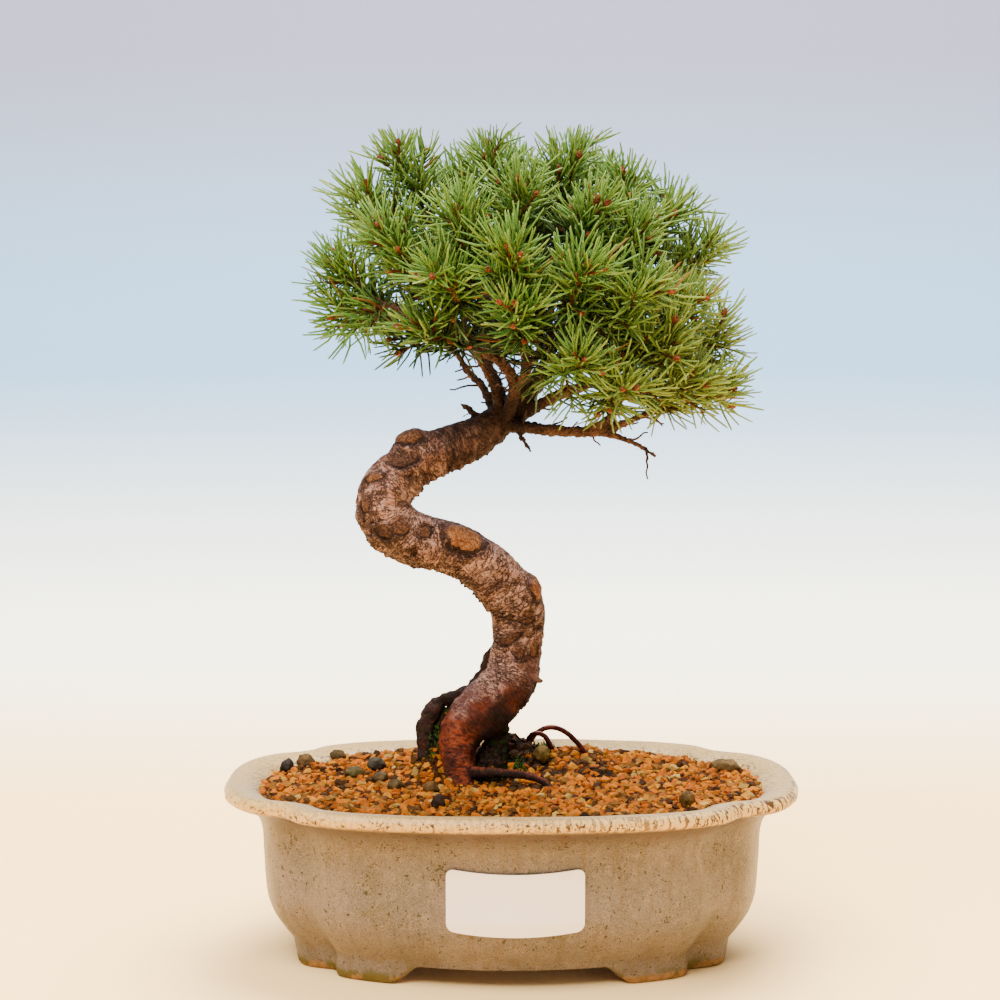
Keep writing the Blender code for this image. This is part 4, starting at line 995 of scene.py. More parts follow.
def barkRelief(points, facing):
    # How far the bark pushes out, and what its material needs to know
    along, angle, radius, kind = nearestRoute(points)
    onTrunk = kind == 0
    young = (kind >= 3) * 1.0
    size = np.clip(radius / 8, 0.12, 1)
    straight = np.stack((along, radius * np.cos(angle), radius * np.sin(angle)), axis=1)
    straight[:, 1:] += 40 * kind[:, None]
    lump = bumps(points, 8) + 0.6 * bumps(points, 3.5, 7)
    # Scaly patches, more of them on the underside; smooth skin with fine folds elsewhere
    rough = smoothStep(bumps(points, 6.5, 3) * 0.9 - 0.42 * facing[:, 2] + 0.12, -0.12, 0.42)
    rough *= 1 - 0.7 * young
    flake = smoothStep(bumps(straight / (1.0, 1.5, 1.5), 1.8, 11) + 0.3 * bumps(points, 0.9), -0.16, 0.2)
    ridge = np.abs(bumps(straight / (1.0, 2.6, 2.6), 1.5, 5) + 0.25 * bumps(points, 1.4, 2))
    crack = (1 - smoothStep(ridge, 0.02, 0.17)) * smoothStep(bumps(points, 4.2, 9), -0.35, 0.3)
    fold = bumps(straight / (1.0, 3.4, 3.4), 1.15, 21) + 0.5 * bumps(points, 1.0, 4)
    wart = smoothStep(bumps(points, 1.35, 15), 0.12, 0.5) * smoothStep(-facing[:, 2], -0.1, 0.6) * onTrunk
    # The foot is smooth, red and ringed with folds. Painted shade darkens the foot's underside, the left
    # root, the front root's lower side, the wood round the fork and the trunk's underside
    foot = np.where(kind < 3, 1 - smoothStep(points[:, 2] + 9 * lump - 5 * facing[:, 0], 78, 94), 0)
    foot = np.maximum(foot, np.where((kind == 1) | (kind == 2), 0.75, 0))
    shade = foot * smoothStep(-facing[:, 2] + 0.4 * lump + 0.2 * fold, -0.25, 0.45)
    shade = np.maximum(shade, (kind == 1) * (0.86 + 0.14 * smoothStep(bumps(points, 3, 8), -0.3, 0.2)))
    shade = np.maximum(shade, (kind == 2) * (1 - 0.5 * smoothStep(facing[:, 2] + 0.5 * lump, 0.4, 0.9)))
    hub = np.linalg.norm(points - wood["forkShade"], axis=1)
    shade = np.maximum(shade, (1 - smoothStep(hub + 5 * lump, 8, 22)) * np.where(onTrunk, 0.6, 0.85))
    underShade = smoothStep(-facing[:, 2] + 0.3 * lump, -0.1, 0.7) * onTrunk
    shade = np.maximum(shade, 0.55 * underShade * smoothStep(bumps(points, 3.2, 12), -0.5, 0.2))
    crack *= (0.3 + 0.7 * rough) * (1 - 0.6 * foot) * size
    push = wood["lumpDepth"] * lump * size
    push += wood["flakeDepth"] * (flake - 0.5) * rough * size * (1 - 0.7 * foot)
    push += wood["foldDepth"] * fold * (1.2 - 0.5 * rough) - wood["crackDepth"] * crack
    push += wood["wartDepth"] * wart * rough + 0.7 * (kind == 1) * bumps(points, 2.2, 17)
    push += wood["pegDepth"] * (smoothStep(bumps(points, 1.0, 31), 0.05, 0.5) - 0.2) * young
    push, crack, scar = pressScars(points, facing, onTrunk, lump, fold, push, crack)
    return push, {"bark": (crack, flake, rough), "scar": scar, "age": (foot, young, shade)}, straight


def pressScars(points, facing, onTrunk, lump, fold, push, crack):
    # Each scar's dome, groove and ring, then how far the nearest one is, how orange, and how high up it
    nearest, warm, upward = np.full(len(points), 3.0), np.zeros(len(points)), np.zeros(len(points))
    for centre, look, wide, high, tilt, rise, orange in wood["scars"] + backScars():
        out, across, upright = scarFrame(look, tilt)
        gap = points - np.array(centre)
        u, v = gap @ across / wide, gap @ upright / high
        distance = np.hypot(u, v) * (1 + 0.16 * lump)
        near = smoothStep(facing @ out, -0.1, 0.35) * (np.abs(gap @ out) < 1.3 * max(wide, high)) * onTrunk
        inner = (1 - smoothStep(distance, 0.7, 0.95)) * near
        groove = np.exp(-((distance - 1.0) / 0.13) ** 2) * near * (0.35 + 0.65 * smoothStep(-v, -0.6, 0.5))
        ring = np.exp(-((distance - 1.32) / 0.24) ** 2) * near
        dome = (1 - smoothStep(distance, 0.45, 1.5)) * near
        push = push * (1 - 0.5 * inner) + rise * dome + 0.3 * ring - 0.5 * groove + 0.15 * inner * fold
        crack = crack * (1 - 0.9 * inner)
        distance = np.where(near > 0.2, np.hypot(u, v), 3.0)
        closer = distance < nearest
        nearest = np.where(closer, distance, nearest)
        warm, upward = np.where(closer, orange, warm), np.where(closer, v, upward)
    return push, crack, (nearest, warm, upward)


def buildTrunk(twigs):
    shapes = [tube(smoothPath(wood["trunk"], wood["trunkStep"]), 40, woodRelief)]
    for path in [wood["kneeRoot"], wood["frontRoot"]] + wood["limbs"] + wood["deadStubs"]:
        path = [(*row[:3], row[3] * wood["limbShare"]) for row in path]
        shapes.append(tube(smoothPath(path, wood["limbStep"]), 14))
    obj = newMesh("trunkSkin", *joinShapes(shapes))
    voxelSkin(obj, wood["skinSize"])
    points = relax(obj)
    facing = normals(obj)
    push, marks, straight = barkRelief(points, facing)
    points += facing * push[:, None]
    skin = newMesh("trunkWood", *addTwigs(obj, points, twigs), barkFinish())
    # The twigs are young wood without cracks or scars, with painted shade near the fork
    twigPoints = coordinates(skin)[len(points):]
    hub = np.linalg.norm(twigPoints - wood["twigShade"], axis=1)
    none, full = np.zeros(len(twigPoints)), np.ones(len(twigPoints))
    young = {"bark": (none + 0.1, none + 0.5, none), "scar": (none + 3, none, none),
             "age": (none, full, 0.8 * (1 - smoothStep(hub, 6, 26)))}
    for name, columns in marks.items():
        rows = np.vstack((np.stack(columns, axis=1), np.stack(young[name], axis=1)))
        keepAttribute(skin, name, "FLOAT_VECTOR", rows)
    keepAttribute(skin, "straight", "FLOAT_VECTOR", np.vstack((straight, twigPoints)) * mm)
    bpy.data.objects.remove(obj, do_unlink=True)
    print("trunk", len(skin.data.polygons))
    place(skin, "bark", "trunk")


def spotsAlong(path):
    # Each point of a path and the way on from it
    return [(Vector(a[:3]), Vector(b[:3]) - Vector(a[:3])) for a, b in zip(path, path[1:])]


def addTwigs(obj, points, twigs):
    # The skin with the knobbly twigs that carry the shoots, and thin dead ones between them
    rng = random.Random(crown["seed"])
    shapes = [([tuple(p) for p in points], [tuple(face.vertices) for face in obj.data.polygons])]
    spots = []
    for twig in twigs:
        path = smoothPath(twig, wood["twigStep"])
        path = [(*row[:3], max(0.48, row[3] * 0.86) * rng.uniform(0.8, 1.28)) for row in path]
        shapes.append(tube(path, 7))
        spots += spotsAlong(path[1:])
    for limb in wood["limbs"]:
        spots += spotsAlong(smoothPath(limb, wood["trunkStep"])[2:]) * 2
    hub = Vector(wood["deadTwigHub"])
    spots = [spot for spot in spots if wood["deadTwigFrom"] < (spot[0] - hub).length
             and ((spot[0] - hub).length < wood["deadTwigReach"] or spot[0].z < wood["deadTwigBelow"])]
    for start, ahead in rng.sample(spots, min(wood["deadTwigs"], len(spots))):
        side = ahead.orthogonal().normalized()
        turn = rng.uniform(0, math.tau)
        look = side * math.cos(turn) + side.cross(ahead).normalized() * math.sin(turn)
        look = (look + ahead.normalized() * 0.7).normalized()
        reach = rng.uniform(3.5, 11)
        path = []
        for k in range(6):
            stray = Vector([rng.uniform(-0.35, 0.35) for i in range(3)])
            path.append((*(start + look * reach * k / 5 + stray), 0.42 - 0.035 * k))
        shapes.append(tube(path, 5))
    return joinShapes(shapes)


def barkFinish():
    f = Finish("spruceBark")
    crack, flake, rough = f.parts("bark")
    distance, warm, upright = f.parts("scar")
    foot, young, shade = f.parts("age")
    spot = f.attribute("straight", "Vector")
    height = f.axis(2)
    fine = f.noise(0.7, 5, 0.7)
    patch = f.noise(5.0, 4, 0.6)
    folds = f.noise(0.9, 3, 0.6, f.stretched((1.0, 0.3, 0.3), spot))
    # Pinkish skin with ochre parts, each scale a little lighter or darker; painted light makes it paler low
    # on the trunk, with painted highlights on the raised folds and flecks and painted shade in the folds'
    # hollows
    paintedLightLow = f.band(height, 156, 128) * f.band(fine, 0.44, 0.54)
    colour = f.mix(f.band(patch, 0.40, 0.60), (206, 156, 138), (238, 198, 184))
    colour = f.coats(colour,
                     (f.band(f.noise(13, 3), 0.48, 0.60) * 0.5, (196, 152, 128)),
                     (f.band(rough, 0.25, 0.6) * 0.7,
                      f.mix(f.band(flake, 0.42, 0.58), (120, 86, 73), (194, 152, 130))),
                     (f.band(folds, 0.55, 0.64) * 0.28, (236, 204, 186)),
                     (f.band(fine, 0.55, 0.62) * 0.45, (244, 214, 196)),
                     (f.band(folds, 0.47, 0.40) * 0.5, (112, 74, 56)),
                     (paintedLightLow * 0.7, (248, 206, 190)))
    # Thin dark wrinkles across, joints between scales and pores; painted shade in the hollows of the fine
    # relief, and painted shade above the upper bend, under the crown
    wrinkles = f.lines(folds, 0.06) * f.band(f.noise(3.2, 3), 0.40, 0.48)
    bent = f.warped(f.stretched((1.0, 0.5, 0.5), spot), 1.2, 1.1)
    joints = f.joints(1.4, 0.11, bent) * f.band(f.noise(5.5, 3) + rough * 0.25, 0.52, 0.60) * 0.9
    thin = f.most(wrinkles, joints, f.dots(1.5, 0.2, 0.3))
    shadeUnderCrown = f.band(f.axis(0), -34, -16) * f.band(height, 150, 158)
    colour = f.coats(colour,
                     (thin * 0.9, (38, 23, 17)),
                     (f.band(fine, 0.45, 0.39) * 0.8, (58, 37, 29)),
                     (shadeUnderCrown * 0.7, (52, 33, 27)))
    # The wet foot is red-brown, young wood grey-brown; on both, painted highlights on the raised parts and
    # painted shade in the hollows
    red = f.mix(f.band(patch, 0.38, 0.60), (126, 62, 37), (172, 92, 56))
    red = f.coats(red,
                  (f.band(folds, 0.55, 0.66) * 0.5, (190, 116, 74)),
                  (f.band(folds, 0.48, 0.41) * 0.8, (44, 20, 12)),
                  (f.band(fine, 0.43, 0.34) * 0.8, (30, 14, 10)),
                  (f.band(height, 68, 80) * 0.7, (78, 38, 26)))
    twig = f.mix(f.band(patch, 0.38, 0.60), (84, 60, 47), (132, 99, 78))
    twig = f.coats(twig,
                   (f.band(fine, 0.55, 0.66) * 0.6, (182, 152, 130)),
                   (f.band(fine, 0.47, 0.38) * 0.8, (38, 24, 16)))
    # Branch scars: a plate of bare or dead wood, the bare wood with pale flecks as painted highlights, a dark
    # rim below and rings of bark round it
    away = distance + (f.noise(2.8, 4, 0.6) - 0.5) * 1.1
    crescent = f.band(upright, 0.8, -0.5) * 0.6 + 0.4
    rim = f.band(f.math("ABSOLUTE", away - 1.0), 0.18, 0.10) * crescent
    rings = f.band(f.math("SINE", away * 24), -0.1, -0.7) * f.band(away, 1.9, 1.3) * f.band(away, 1.0, 1.1)
    grain = f.lines(f.noise(0.8, 4, 0.6, f.stretched((0.5, 1, 1))), 0.05)
    wound = f.mix(f.band(f.noise(1.6, 4, 0.6), 0.38, 0.62), (164, 108, 62), (214, 160, 112))
    wound = f.mix(f.band(fine, 0.56, 0.66) * 0.5, wound, (232, 186, 136))
    dead = f.mix(f.band(fine, 0.42, 0.58), (50, 32, 26), (146, 110, 88))
    plate = f.mix(grain * 0.8, f.mix(warm, dead, wound), (66, 38, 22))
    dark = f.most(rim, rings * 0.8, crack)
    # Green film in the shade low on the trunk
    film = f.band(height, 84, 60) * f.band(f.noise(2.6, 4, 0.6), 0.56, 0.64) * f.band(shade, 0.1, 0.7)
    colour = f.coats(colour,
                     (foot, red),
                     (young * 0.94, twig),
                     (f.band(away, 1.7, 1.15) * 0.35, (122, 84, 64)),
                     (f.band(away, 0.90, 0.83), plate),
                     (dark * 0.93, (34, 20, 15)),
                     # Painted shade on undersides, the roots and round the fork
                     (shade * 0.94, f.mix(f.band(fine, 0.5, 0.7), (24, 15, 11), (88, 56, 36))),
                     (film * 0.7, (44, 58, 18)))
    rough = 0.72 - foot * (1 - shade) * 0.32 + crack * 0.1 + f.band(fine, 0.4, 0.7) * 0.08
    relief = folds * 0.35 + fine * 0.5 - dark * 0.4 - thin * 0.5
    return f.finish(colour, rough, relief, 0.8, 0.18)


# Shoots: leading shoot and side shoots with needles and buds, one piece for each packed spray

shoots = {
    "sideCount": 5, "sideTo": 0.74, "sideLean": 46, "sideLong": 12.0, "sideShort": 7.0, "sideUp": 0.26,
    "stemRadii": (0.85, 0.5), "sideRadii": (0.5, 0.36), "backNeedles": 32,
    "twigFrom": 3.0, "twigStep": 3.1, "twigShoots": (6.5, 12.0),
    "needleLength": 11.6, "needleWidth": 0.88, "needleBend": 4.2,
    "needleRings": ((0, 0.7), (0.45, 1.0), (0.93, 0.78)), "leastNeedle": 0.6, "leastStem": 0.1,
    "spacing": 0.435, "leanFoot": 84, "leanTip": 42, "upTurn": 0.14, "ownTurn": 1.2,
    "budLength": 2.8, "budRadius": 0.98, "budSides": 7,
    "budRings": ((0, 0.62), (0.16, 0.92), (0.34, 1.06), (0.44, 0.9), (0.62, 0.92), (0.7, 0.7), (0.86, 0.5)),
    "seed": 23,
}


def buildNeedle():
    # A thin three-sided needle along +Z, bent to -X, with one keel that its material paints paler as a
    # painted highlight
    length, bend = shoots["needleLength"], shoots["needleBend"]
    verts = []
    for t, share in shoots["needleRings"]:
        reach = shoots["needleWidth"] / 2 * share
        for angle in (0, math.tau / 3, math.tau * 2 / 3):
            verts.append((math.cos(angle) * reach - bend * t * t, math.sin(angle) * reach, t * length))
    verts.append((-bend, 0, length))
    rings = len(shoots["needleRings"])
    faces = [(2, 1, 0)] + ringFaces(3, rings) + fanFaces(3 * rings - 3, 3, 3 * rings)
    obj = newMesh("needle", verts, faces, needleFinish())
    keepAttribute(obj, "keel", "FLOAT", [1, 0, 0] * rings + [0.5])
    keepAttribute(obj, "far", "FLOAT", [t for t, share in shoots["needleRings"] for i in range(3)] + [1])
    return obj


def budShape(length, radius, base, heading):
    # A scaly bud: rings that step in and out
    sides = shoots["budSides"]
    side = heading.orthogonal().normalized()
    other = heading.cross(side)
    verts = []
    for k, (t, wide) in enumerate(shoots["budRings"]):
        for i in range(sides):
            angle = math.tau * (i + 0.5 * (k % 2)) / sides
            reach = radius * wide * (1 + 0.08 * math.cos(3 * angle + k))
            out = side * math.cos(angle) + other * math.sin(angle)
            verts.append(base + heading * length * t + out * reach)
    faces = [tuple(range(sides))[::-1]] + ringFaces(sides, len(shoots["budRings"]))
    faces += fanFaces(len(verts) - sides, sides, len(verts))
    return verts + [base + heading * length], faces


def buildBud(name, cluster):
    length, radius = shoots["budLength"], shoots["budRadius"]
    shapes = [budShape(length, radius, Vector((0, 0, -0.5)), up)]
    for turn in (0.3, 2.6) if cluster else ():
        lean = Vector((math.cos(turn), math.sin(turn), 1.15)).normalized()
        shapes.append(budShape(length * 0.72, radius * 0.74, Vector((0, 0, -1.2)), lean))
    return newMesh(name, *joinShapes(shapes), budFinish(), smooth=False)


def shootPattern(needleMaterial, stemMaterial, budMaterial):
    p = Pattern("spruceShoots")
    needle, cluster, bud = [p.ask(name, "Object") for name in ("Needle", "Bud cluster", "Bud")]
    lowest, highest = [p.ask(name, "Vector") for name in ("Lowest corner", "Highest corner")]
    spacing = p.ask("Needle spacing", "Float", shoots["spacing"] * mm)
    leanFoot = p.ask("Lean at the foot", "Float", math.radians(shoots["leanFoot"]))
    leanTip = p.ask("Lean at the tip", "Float", math.radians(shoots["leanTip"]))
    upTurn = p.ask("Turn upwards", "Float", shoots["upTurn"])
    ownTurn = p.ask("Turn of the bend", "Float", shoots["ownTurn"])
    seed = p.ask("Seed", "Int", 1)
    along, thick, lead = [p.attribute(name) for name in ("along", "thick", "lead")]
    ahead = p.attribute("ahead", "FLOAT_VECTOR")
    leastStem = shoots["leastStem"] * mm
    runs = p.get("GeometryNodeMeshToCurve", inputs={"Mesh": p.given()})
    woody = p.get("GeometryNodeDeleteGeometry", {"domain": "POINT"},
                  {"Geometry": runs, "Selection": p.math("LESS_THAN", thick, leastStem)})
    ring = p.get("GeometryNodeCurvePrimitiveCircle", inputs={"Resolution": 6, "Radius": 1.0})
    stems = p.get("GeometryNodeCurveToMesh", inputs={"Curve": woody, "Profile Curve": ring, "Scale": thick,
                                                     "Fill Caps": True})
    # Needles all round each stem, at the golden angle
    spots = p.get("GeometryNodeCurveToPoints", {"mode": "LENGTH"}, {"Curve": runs, "Length": spacing})
    index = p.get("GeometryNodeInputIndex")
    twist = index * goldenAngle + p.random(-0.5, 0.5, seed)
    lean = leanFoot + (leanTip - leanFoot) * along + p.random(-0.22, 0.22, seed, 1)
    turned = p.turned(p.facing(ahead), (0, 0, 1), twist)
    turned = p.turned(turned, (0, 1, 0), lean)
    turned = p.turned(turned, (0, 0, 1), ownTurn * p.random(-1.0, 1.0, seed, 5))
    turned = p.facing((0, 0, 1), turned, upTurn)
    size = p.random(0.74, 1.04, seed, 2) * (1 - 0.1 * along)
    bent = (-shoots["needleBend"] * mm, 0, shoots["needleLength"] * mm)
    reach = p.get("FunctionNodeRotateVector", inputs={"Vector": bent, "Rotation": turned})
    tip = p.vector("ADD", p.get("GeometryNodeInputPosition"), reach)
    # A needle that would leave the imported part's box is shortened, or left out if little is left
    inside = p.vector("MINIMUM", p.vector("MAXIMUM", tip, lowest), highest)
    stray = p.vector("DIVIDE", p.vector("SUBTRACT", tip, inside), reach)
    stray = p.node("ShaderNodeSeparateXYZ", inputs={0: stray})
    kept = 1 - p.most(*[Socket(p, output) for output in stray.outputs])
    needles = p.get("GeometryNodeInstanceOnPoints", inputs={
        "Points": spots, "Instance": p.shape(needle), "Rotation": turned, "Scale": size * kept,
        "Selection": p.math("GREATER_THAN", kept, shoots["leastNeedle"])})
    pieces = [p.painted(stems, stemMaterial), p.painted(p.toned(needles, seed, 3), needleMaterial)]
    # Buds on the ends: a cluster on a leading shoot, one or none on a side shoot
    ends = p.math("GREATER_THAN", along, 0.999) * p.math("GREATER_THAN", thick, leastStem) \
        * p.math("LESS_THAN", p.random(0.0, 1.0, seed, 6), p.most(lead, 0.5))
    for model, test in ((cluster, "GREATER_THAN"), (bud, "LESS_THAN")):
        buds = p.get("GeometryNodeInstanceOnPoints", inputs={
            "Points": p.get("GeometryNodeMeshToPoints", inputs={"Mesh": p.given()}),
            "Instance": p.shape(model), "Selection": ends * p.math(test, lead, 0.5),
            "Rotation": p.turned(p.facing(ahead), (0, 0, 1), index * 1.9),
            "Scale": p.random(0.7, 1.1, seed, 4)})
        pieces.append(p.painted(buds, budMaterial))
    p.finished(pieces)
    return p


def stemRuns(number, foot, heading, twig):
    # Rows of place, direction, radius, share along, whether it leads and age, for one spray's stems
    rng = random.Random(shoots["seed"] * 100 + number)
    start = foot + heading * 0.5
    length = crown["leaderLength"]
    runs = []

    def run(base, look, reach, radii, lead, rise, old=0.0):
        rows = []
        count = max(4, round(reach / 1.6))
        for k in range(count + 1):
            t = k / count
            spot = base + look * reach * t + up * rise * reach * t * t
            ahead = (look + up * 2 * rise * t).normalized()
            rows.append((spot, ahead, radii[0] + (radii[1] - radii[0]) * t, t, lead, old))
        runs.append(rows)

    run(start, heading, length, shoots["stemRadii"], 1.0, 0.05)
    across = heading.cross(up)
    across = (across if across.length > 0.1 else Vector((1, 0, 0))).normalized()
    count = shoots["sideCount"]
    spin = rng.uniform(0, math.tau)
    for k in range(count):
        part = min(0.9, max(0.02, shoots["sideTo"] * (k + rng.uniform(-0.3, 0.3)) / (count - 1)))
        base = start + heading * length * part
        angle = spin + k * goldenAngle
        out = across * math.cos(angle) + across.cross(heading) * math.sin(angle)
        lean = math.radians(shoots["sideLean"] + rng.uniform(-10, 10))
        look = (heading * math.cos(lean) + out * math.sin(lean) + up * shoots["sideUp"]).normalized()
        reach = shoots["sideLong"] + (shoots["sideShort"] - shoots["sideLong"]) * part
        run(base, look, reach * rng.uniform(0.8, 1.12), shoots["sideRadii"], 0.0, 0.05)
    # Older needles on the end of the twig that carries the spray, and shorter shoots out of it
    back = []
    gone = 0
    due = shoots["twigFrom"]
    path = smoothPath([np.array(row) for row in twig], 1.6)[::-1]
    for k, (a, b) in enumerate(zip(path, path[1:])):
        ahead = Vector((a - b)[:3]).normalized()
        back.append((Vector(a[:3]), ahead, 0, 0.25, 0.0, 0.8))
        gone += np.linalg.norm((a - b)[:3])
        if gone > shoots["backNeedles"]:
            break
        if gone > due:
            side = ahead.orthogonal().normalized()
            angle = spin + k * goldenAngle
            out = side * math.cos(angle) + side.cross(ahead) * math.sin(angle)
            look = (ahead * 0.7 + out + up * 0.15).normalized()
            old = min(0.8, gone / shoots["backNeedles"])
            run(Vector(a[:3]), look, rng.uniform(*shoots["twigShoots"]), shoots["sideRadii"], 0.0, 0.05, old)
            due += shoots["twigStep"]
    runs.append(back[::-1])
    return runs


def buildSprays(feet, twigs):
    needle = buildNeedle()
    cluster = buildBud("budCluster", True)
    bud = buildBud("bud", False)
    pattern = shootPattern(needle.data.materials[0], shootFinish(), bud.data.materials[0])
    low, high = [[c + s * 0.4 * mm for c in corner] for corner, s in zip(cadBox, (1, -1))]
    columns = (("thick", mm), ("along", 1), ("lead", 1), ("old", 1))
    total = 0
    for number, ((foot, heading), twig) in enumerate(zip(feet, twigs), 1):
        rows = []
        edges = []
        for run in stemRuns(number, foot, heading, twig):
            edges += [(len(rows) + k, len(rows) + k + 1) for k in range(len(run) - 1)]
            rows += run
        name = f"spray{number:02d}"
        mesh = bpy.data.meshes.new(name)
        mesh.from_pydata([tuple(row[0] * mm) for row in rows], edges, [])
        obj = linked(name, mesh)
        keepAttribute(obj, "ahead", "FLOAT_VECTOR", [tuple(row[1]) for row in rows])
        for column, (key, scale) in enumerate(columns, 2):
            keepAttribute(obj, key, "FLOAT", [row[column] * scale for row in rows])
        applyPattern(obj, pattern, {"Needle": needle, "Bud cluster": cluster, "Bud": bud,
                                    "Lowest corner": low, "Highest corner": high, "Seed": number * 10})
        for key in ("ahead", "thick", "along", "lead"):
            if key in obj.data.attributes:
                obj.data.attributes.remove(obj.data.attributes[key])
        total += len(obj.data.polygons)
        place(obj, "needles", f"spray_{number:02d}")
    for model in (needle, cluster, bud):
        bpy.data.objects.remove(model, do_unlink=True)
    print("sprays", total)


def needleFinish():
    f = Finish("spruceNeedle")
    tone, keel, far = f.attribute("tone"), f.attribute("keel"), f.attribute("far")
    across, depth, height = f.axis(0), f.axis(1), f.axis(2)
    # Painted light makes the needles yellower and paler to the lower right and at the top of the crown;
    # painted shade darkens them deep in the crown, and needles on old wood are darker of their own
    paintedSunlight = f.band(across - (height - 200) * 0.8, 0, 70)
    u, v, w = (across - 6) / 58, (depth - 3) / 46, (height - 203) / 46
    out = f.math("SQRT", u * u + v * v + w * w)
    deep = f.band(out + f.noise(9, 2) * 0.4, 1.16, 0.84) * (1 - f.band(height, 222, 246) * 0.5)
    deep = f.most(deep, f.attribute("old") * 0.7)
    colour = f.mix(f.band(f.noise(15, 2), 0.35, 0.65), (100, 144, 70), (136, 180, 88))
    colour = f.coats(colour,
                     # Painted light to the lower right and at the top of the crown
                     (paintedSunlight * 0.65, (196, 208, 118)),
                     (f.band(height, 212, 244) * 0.5, (180, 214, 116)),
                     (tone * 0.5, (118, 160, 80)),
                     (f.band(tone, 0.8, 0.95) * 0.6, (204, 226, 132)),
                     # Painted highlight along each needle's keel
                     (f.band(keel, 0.3, 0.9) * 0.4, (198, 228, 120)),
                     (f.band(far, 0.14, 0.0) * 0.7, (156, 130, 70)),
                     (f.band(far, 0.85, 1.0) * 0.35, (206, 200, 130)),
                     # Painted shade deep in the crown, with the old needles' own darker green
                     (deep * 0.87, (34, 45, 28)),
                     (f.math("GREATER_THAN", tone, 0.992) * 0.85, (158, 106, 58)))
    return f.finish(colour, 0.5, shine=0.16)


def shootFinish():
    f = Finish("shootStem")
    fine = f.noise(0.7, 4, 0.6)
    colour = f.mix(f.band(fine, 0.38, 0.62), (94, 56, 36), (144, 94, 62))
    return f.finish(colour, 0.6, fine, 0.25)


def budFinish():
    f = Finish("spruceBud")
    fine = f.noise(0.8, 4, 0.6)
    colour = f.mix(f.band(fine, 0.36, 0.64), (108, 58, 40), (180, 112, 82))
    return f.finish(colour, 0.5, fine, 0.2)


# Soil: a dark bed, its colour doubling as painted shade in the gaps between the grains, then grains over it

soil = {
    "edge": 54.6, "power": 2.6, "insetEdge": 11.0,
    "heaps": [(0, 30, 6, 70, 16), (-24.5, 9, 17, 5, 7), (1, 17, 8.5, 8, 7), (-14, 2, 0.8, 12, 10)],
    "grainApart": 2.45, "grainSmall": 0.75, "grainLarge": 2.0, "crumbApart": 1.2, "crumbSmall": 0.25,
    "crumbLarge": 0.6, "variants": 9, "corners": 10, "keepOff": 1.2, "atWall": 0.75, "seed": 5,
    "density": 900000.0, "bedSink": 0.6, "topReach": 1.6,
    # Damp spots: place across and back, half width and depth
    "damp": [(-22, 11, 8, 8), (1, 16, 13, 8), (-7, 4, 9, 6), (14, 9, 5, 3), (26, 10, 7, 3), (4, -4, 13, 3)],
    # The grains' colours, each with the share of the grains that comes before it
    "grainTones": [(0.0, (208, 134, 24)), (0.12, (228, 158, 42)), (0.22, (190, 116, 18)),
                   (0.32, (220, 146, 32)), (0.44, (168, 104, 20)), (0.54, (230, 172, 70)),
                   (0.62, (172, 128, 66)), (0.72, (140, 104, 56)), (0.79, (100, 74, 44)),
                   (0.86, (66, 44, 26)), (0.945, (196, 168, 116)), (0.975, (232, 202, 140)),
                   (0.99, (40, 34, 28))],
}


def soilEdgeShare(x, y, inset=0.0):
    a = pot["length"] / 2 - soil["insetEdge"] - inset
    b = pot["depth"] / 2 - soil["insetEdge"] - inset
    return (np.abs(x) / a) ** soil["power"] + (np.abs(y) / b) ** soil["power"]


def soilTop(x, y):
    rise = 0
    for cx, cy, height, wide, deep in soil["heaps"]:
        rise = rise + height * np.exp(-((x - cx) / wide) ** 2 - ((y - cy) / deep) ** 2)
    return soil["edge"] + rise * (1 - np.minimum(1, soilEdgeShare(x, y)) ** 2)


def buildGrains():
    # Crushed clay grains: hulls of a few points, about a millimetre in radius
    group = bpy.data.collections.new("grains")
    rng = random.Random(soil["seed"])
    for n in range(soil["variants"]):
        form = bmesh.new()
        count = soil["corners"]
        for k in range(count):
            z = 1 - 2 * (k + 0.5) / count
            angle = k * goldenAngle + rng.uniform(-0.6, 0.6)
            flat = math.sqrt(1 - z * z)
            size = rng.uniform(0.68, 1.12) * mm
            spot = (math.cos(angle) * flat * 1.2, math.sin(angle) * flat, z * 0.8)
            form.verts.new([c * size for c in spot])
        hull = bmesh.ops.convex_hull(form, input=form.verts)
        bmesh.ops.delete(form, geom=hull["geom_interior"], context="VERTS")
        bmesh.ops.recalc_face_normals(form, faces=form.faces)
        mesh = bpy.data.meshes.new(f"grain{n}")
        form.to_mesh(mesh)
        form.free()
        group.objects.link(bpy.data.objects.new(f"grain{n}", mesh))
    return group


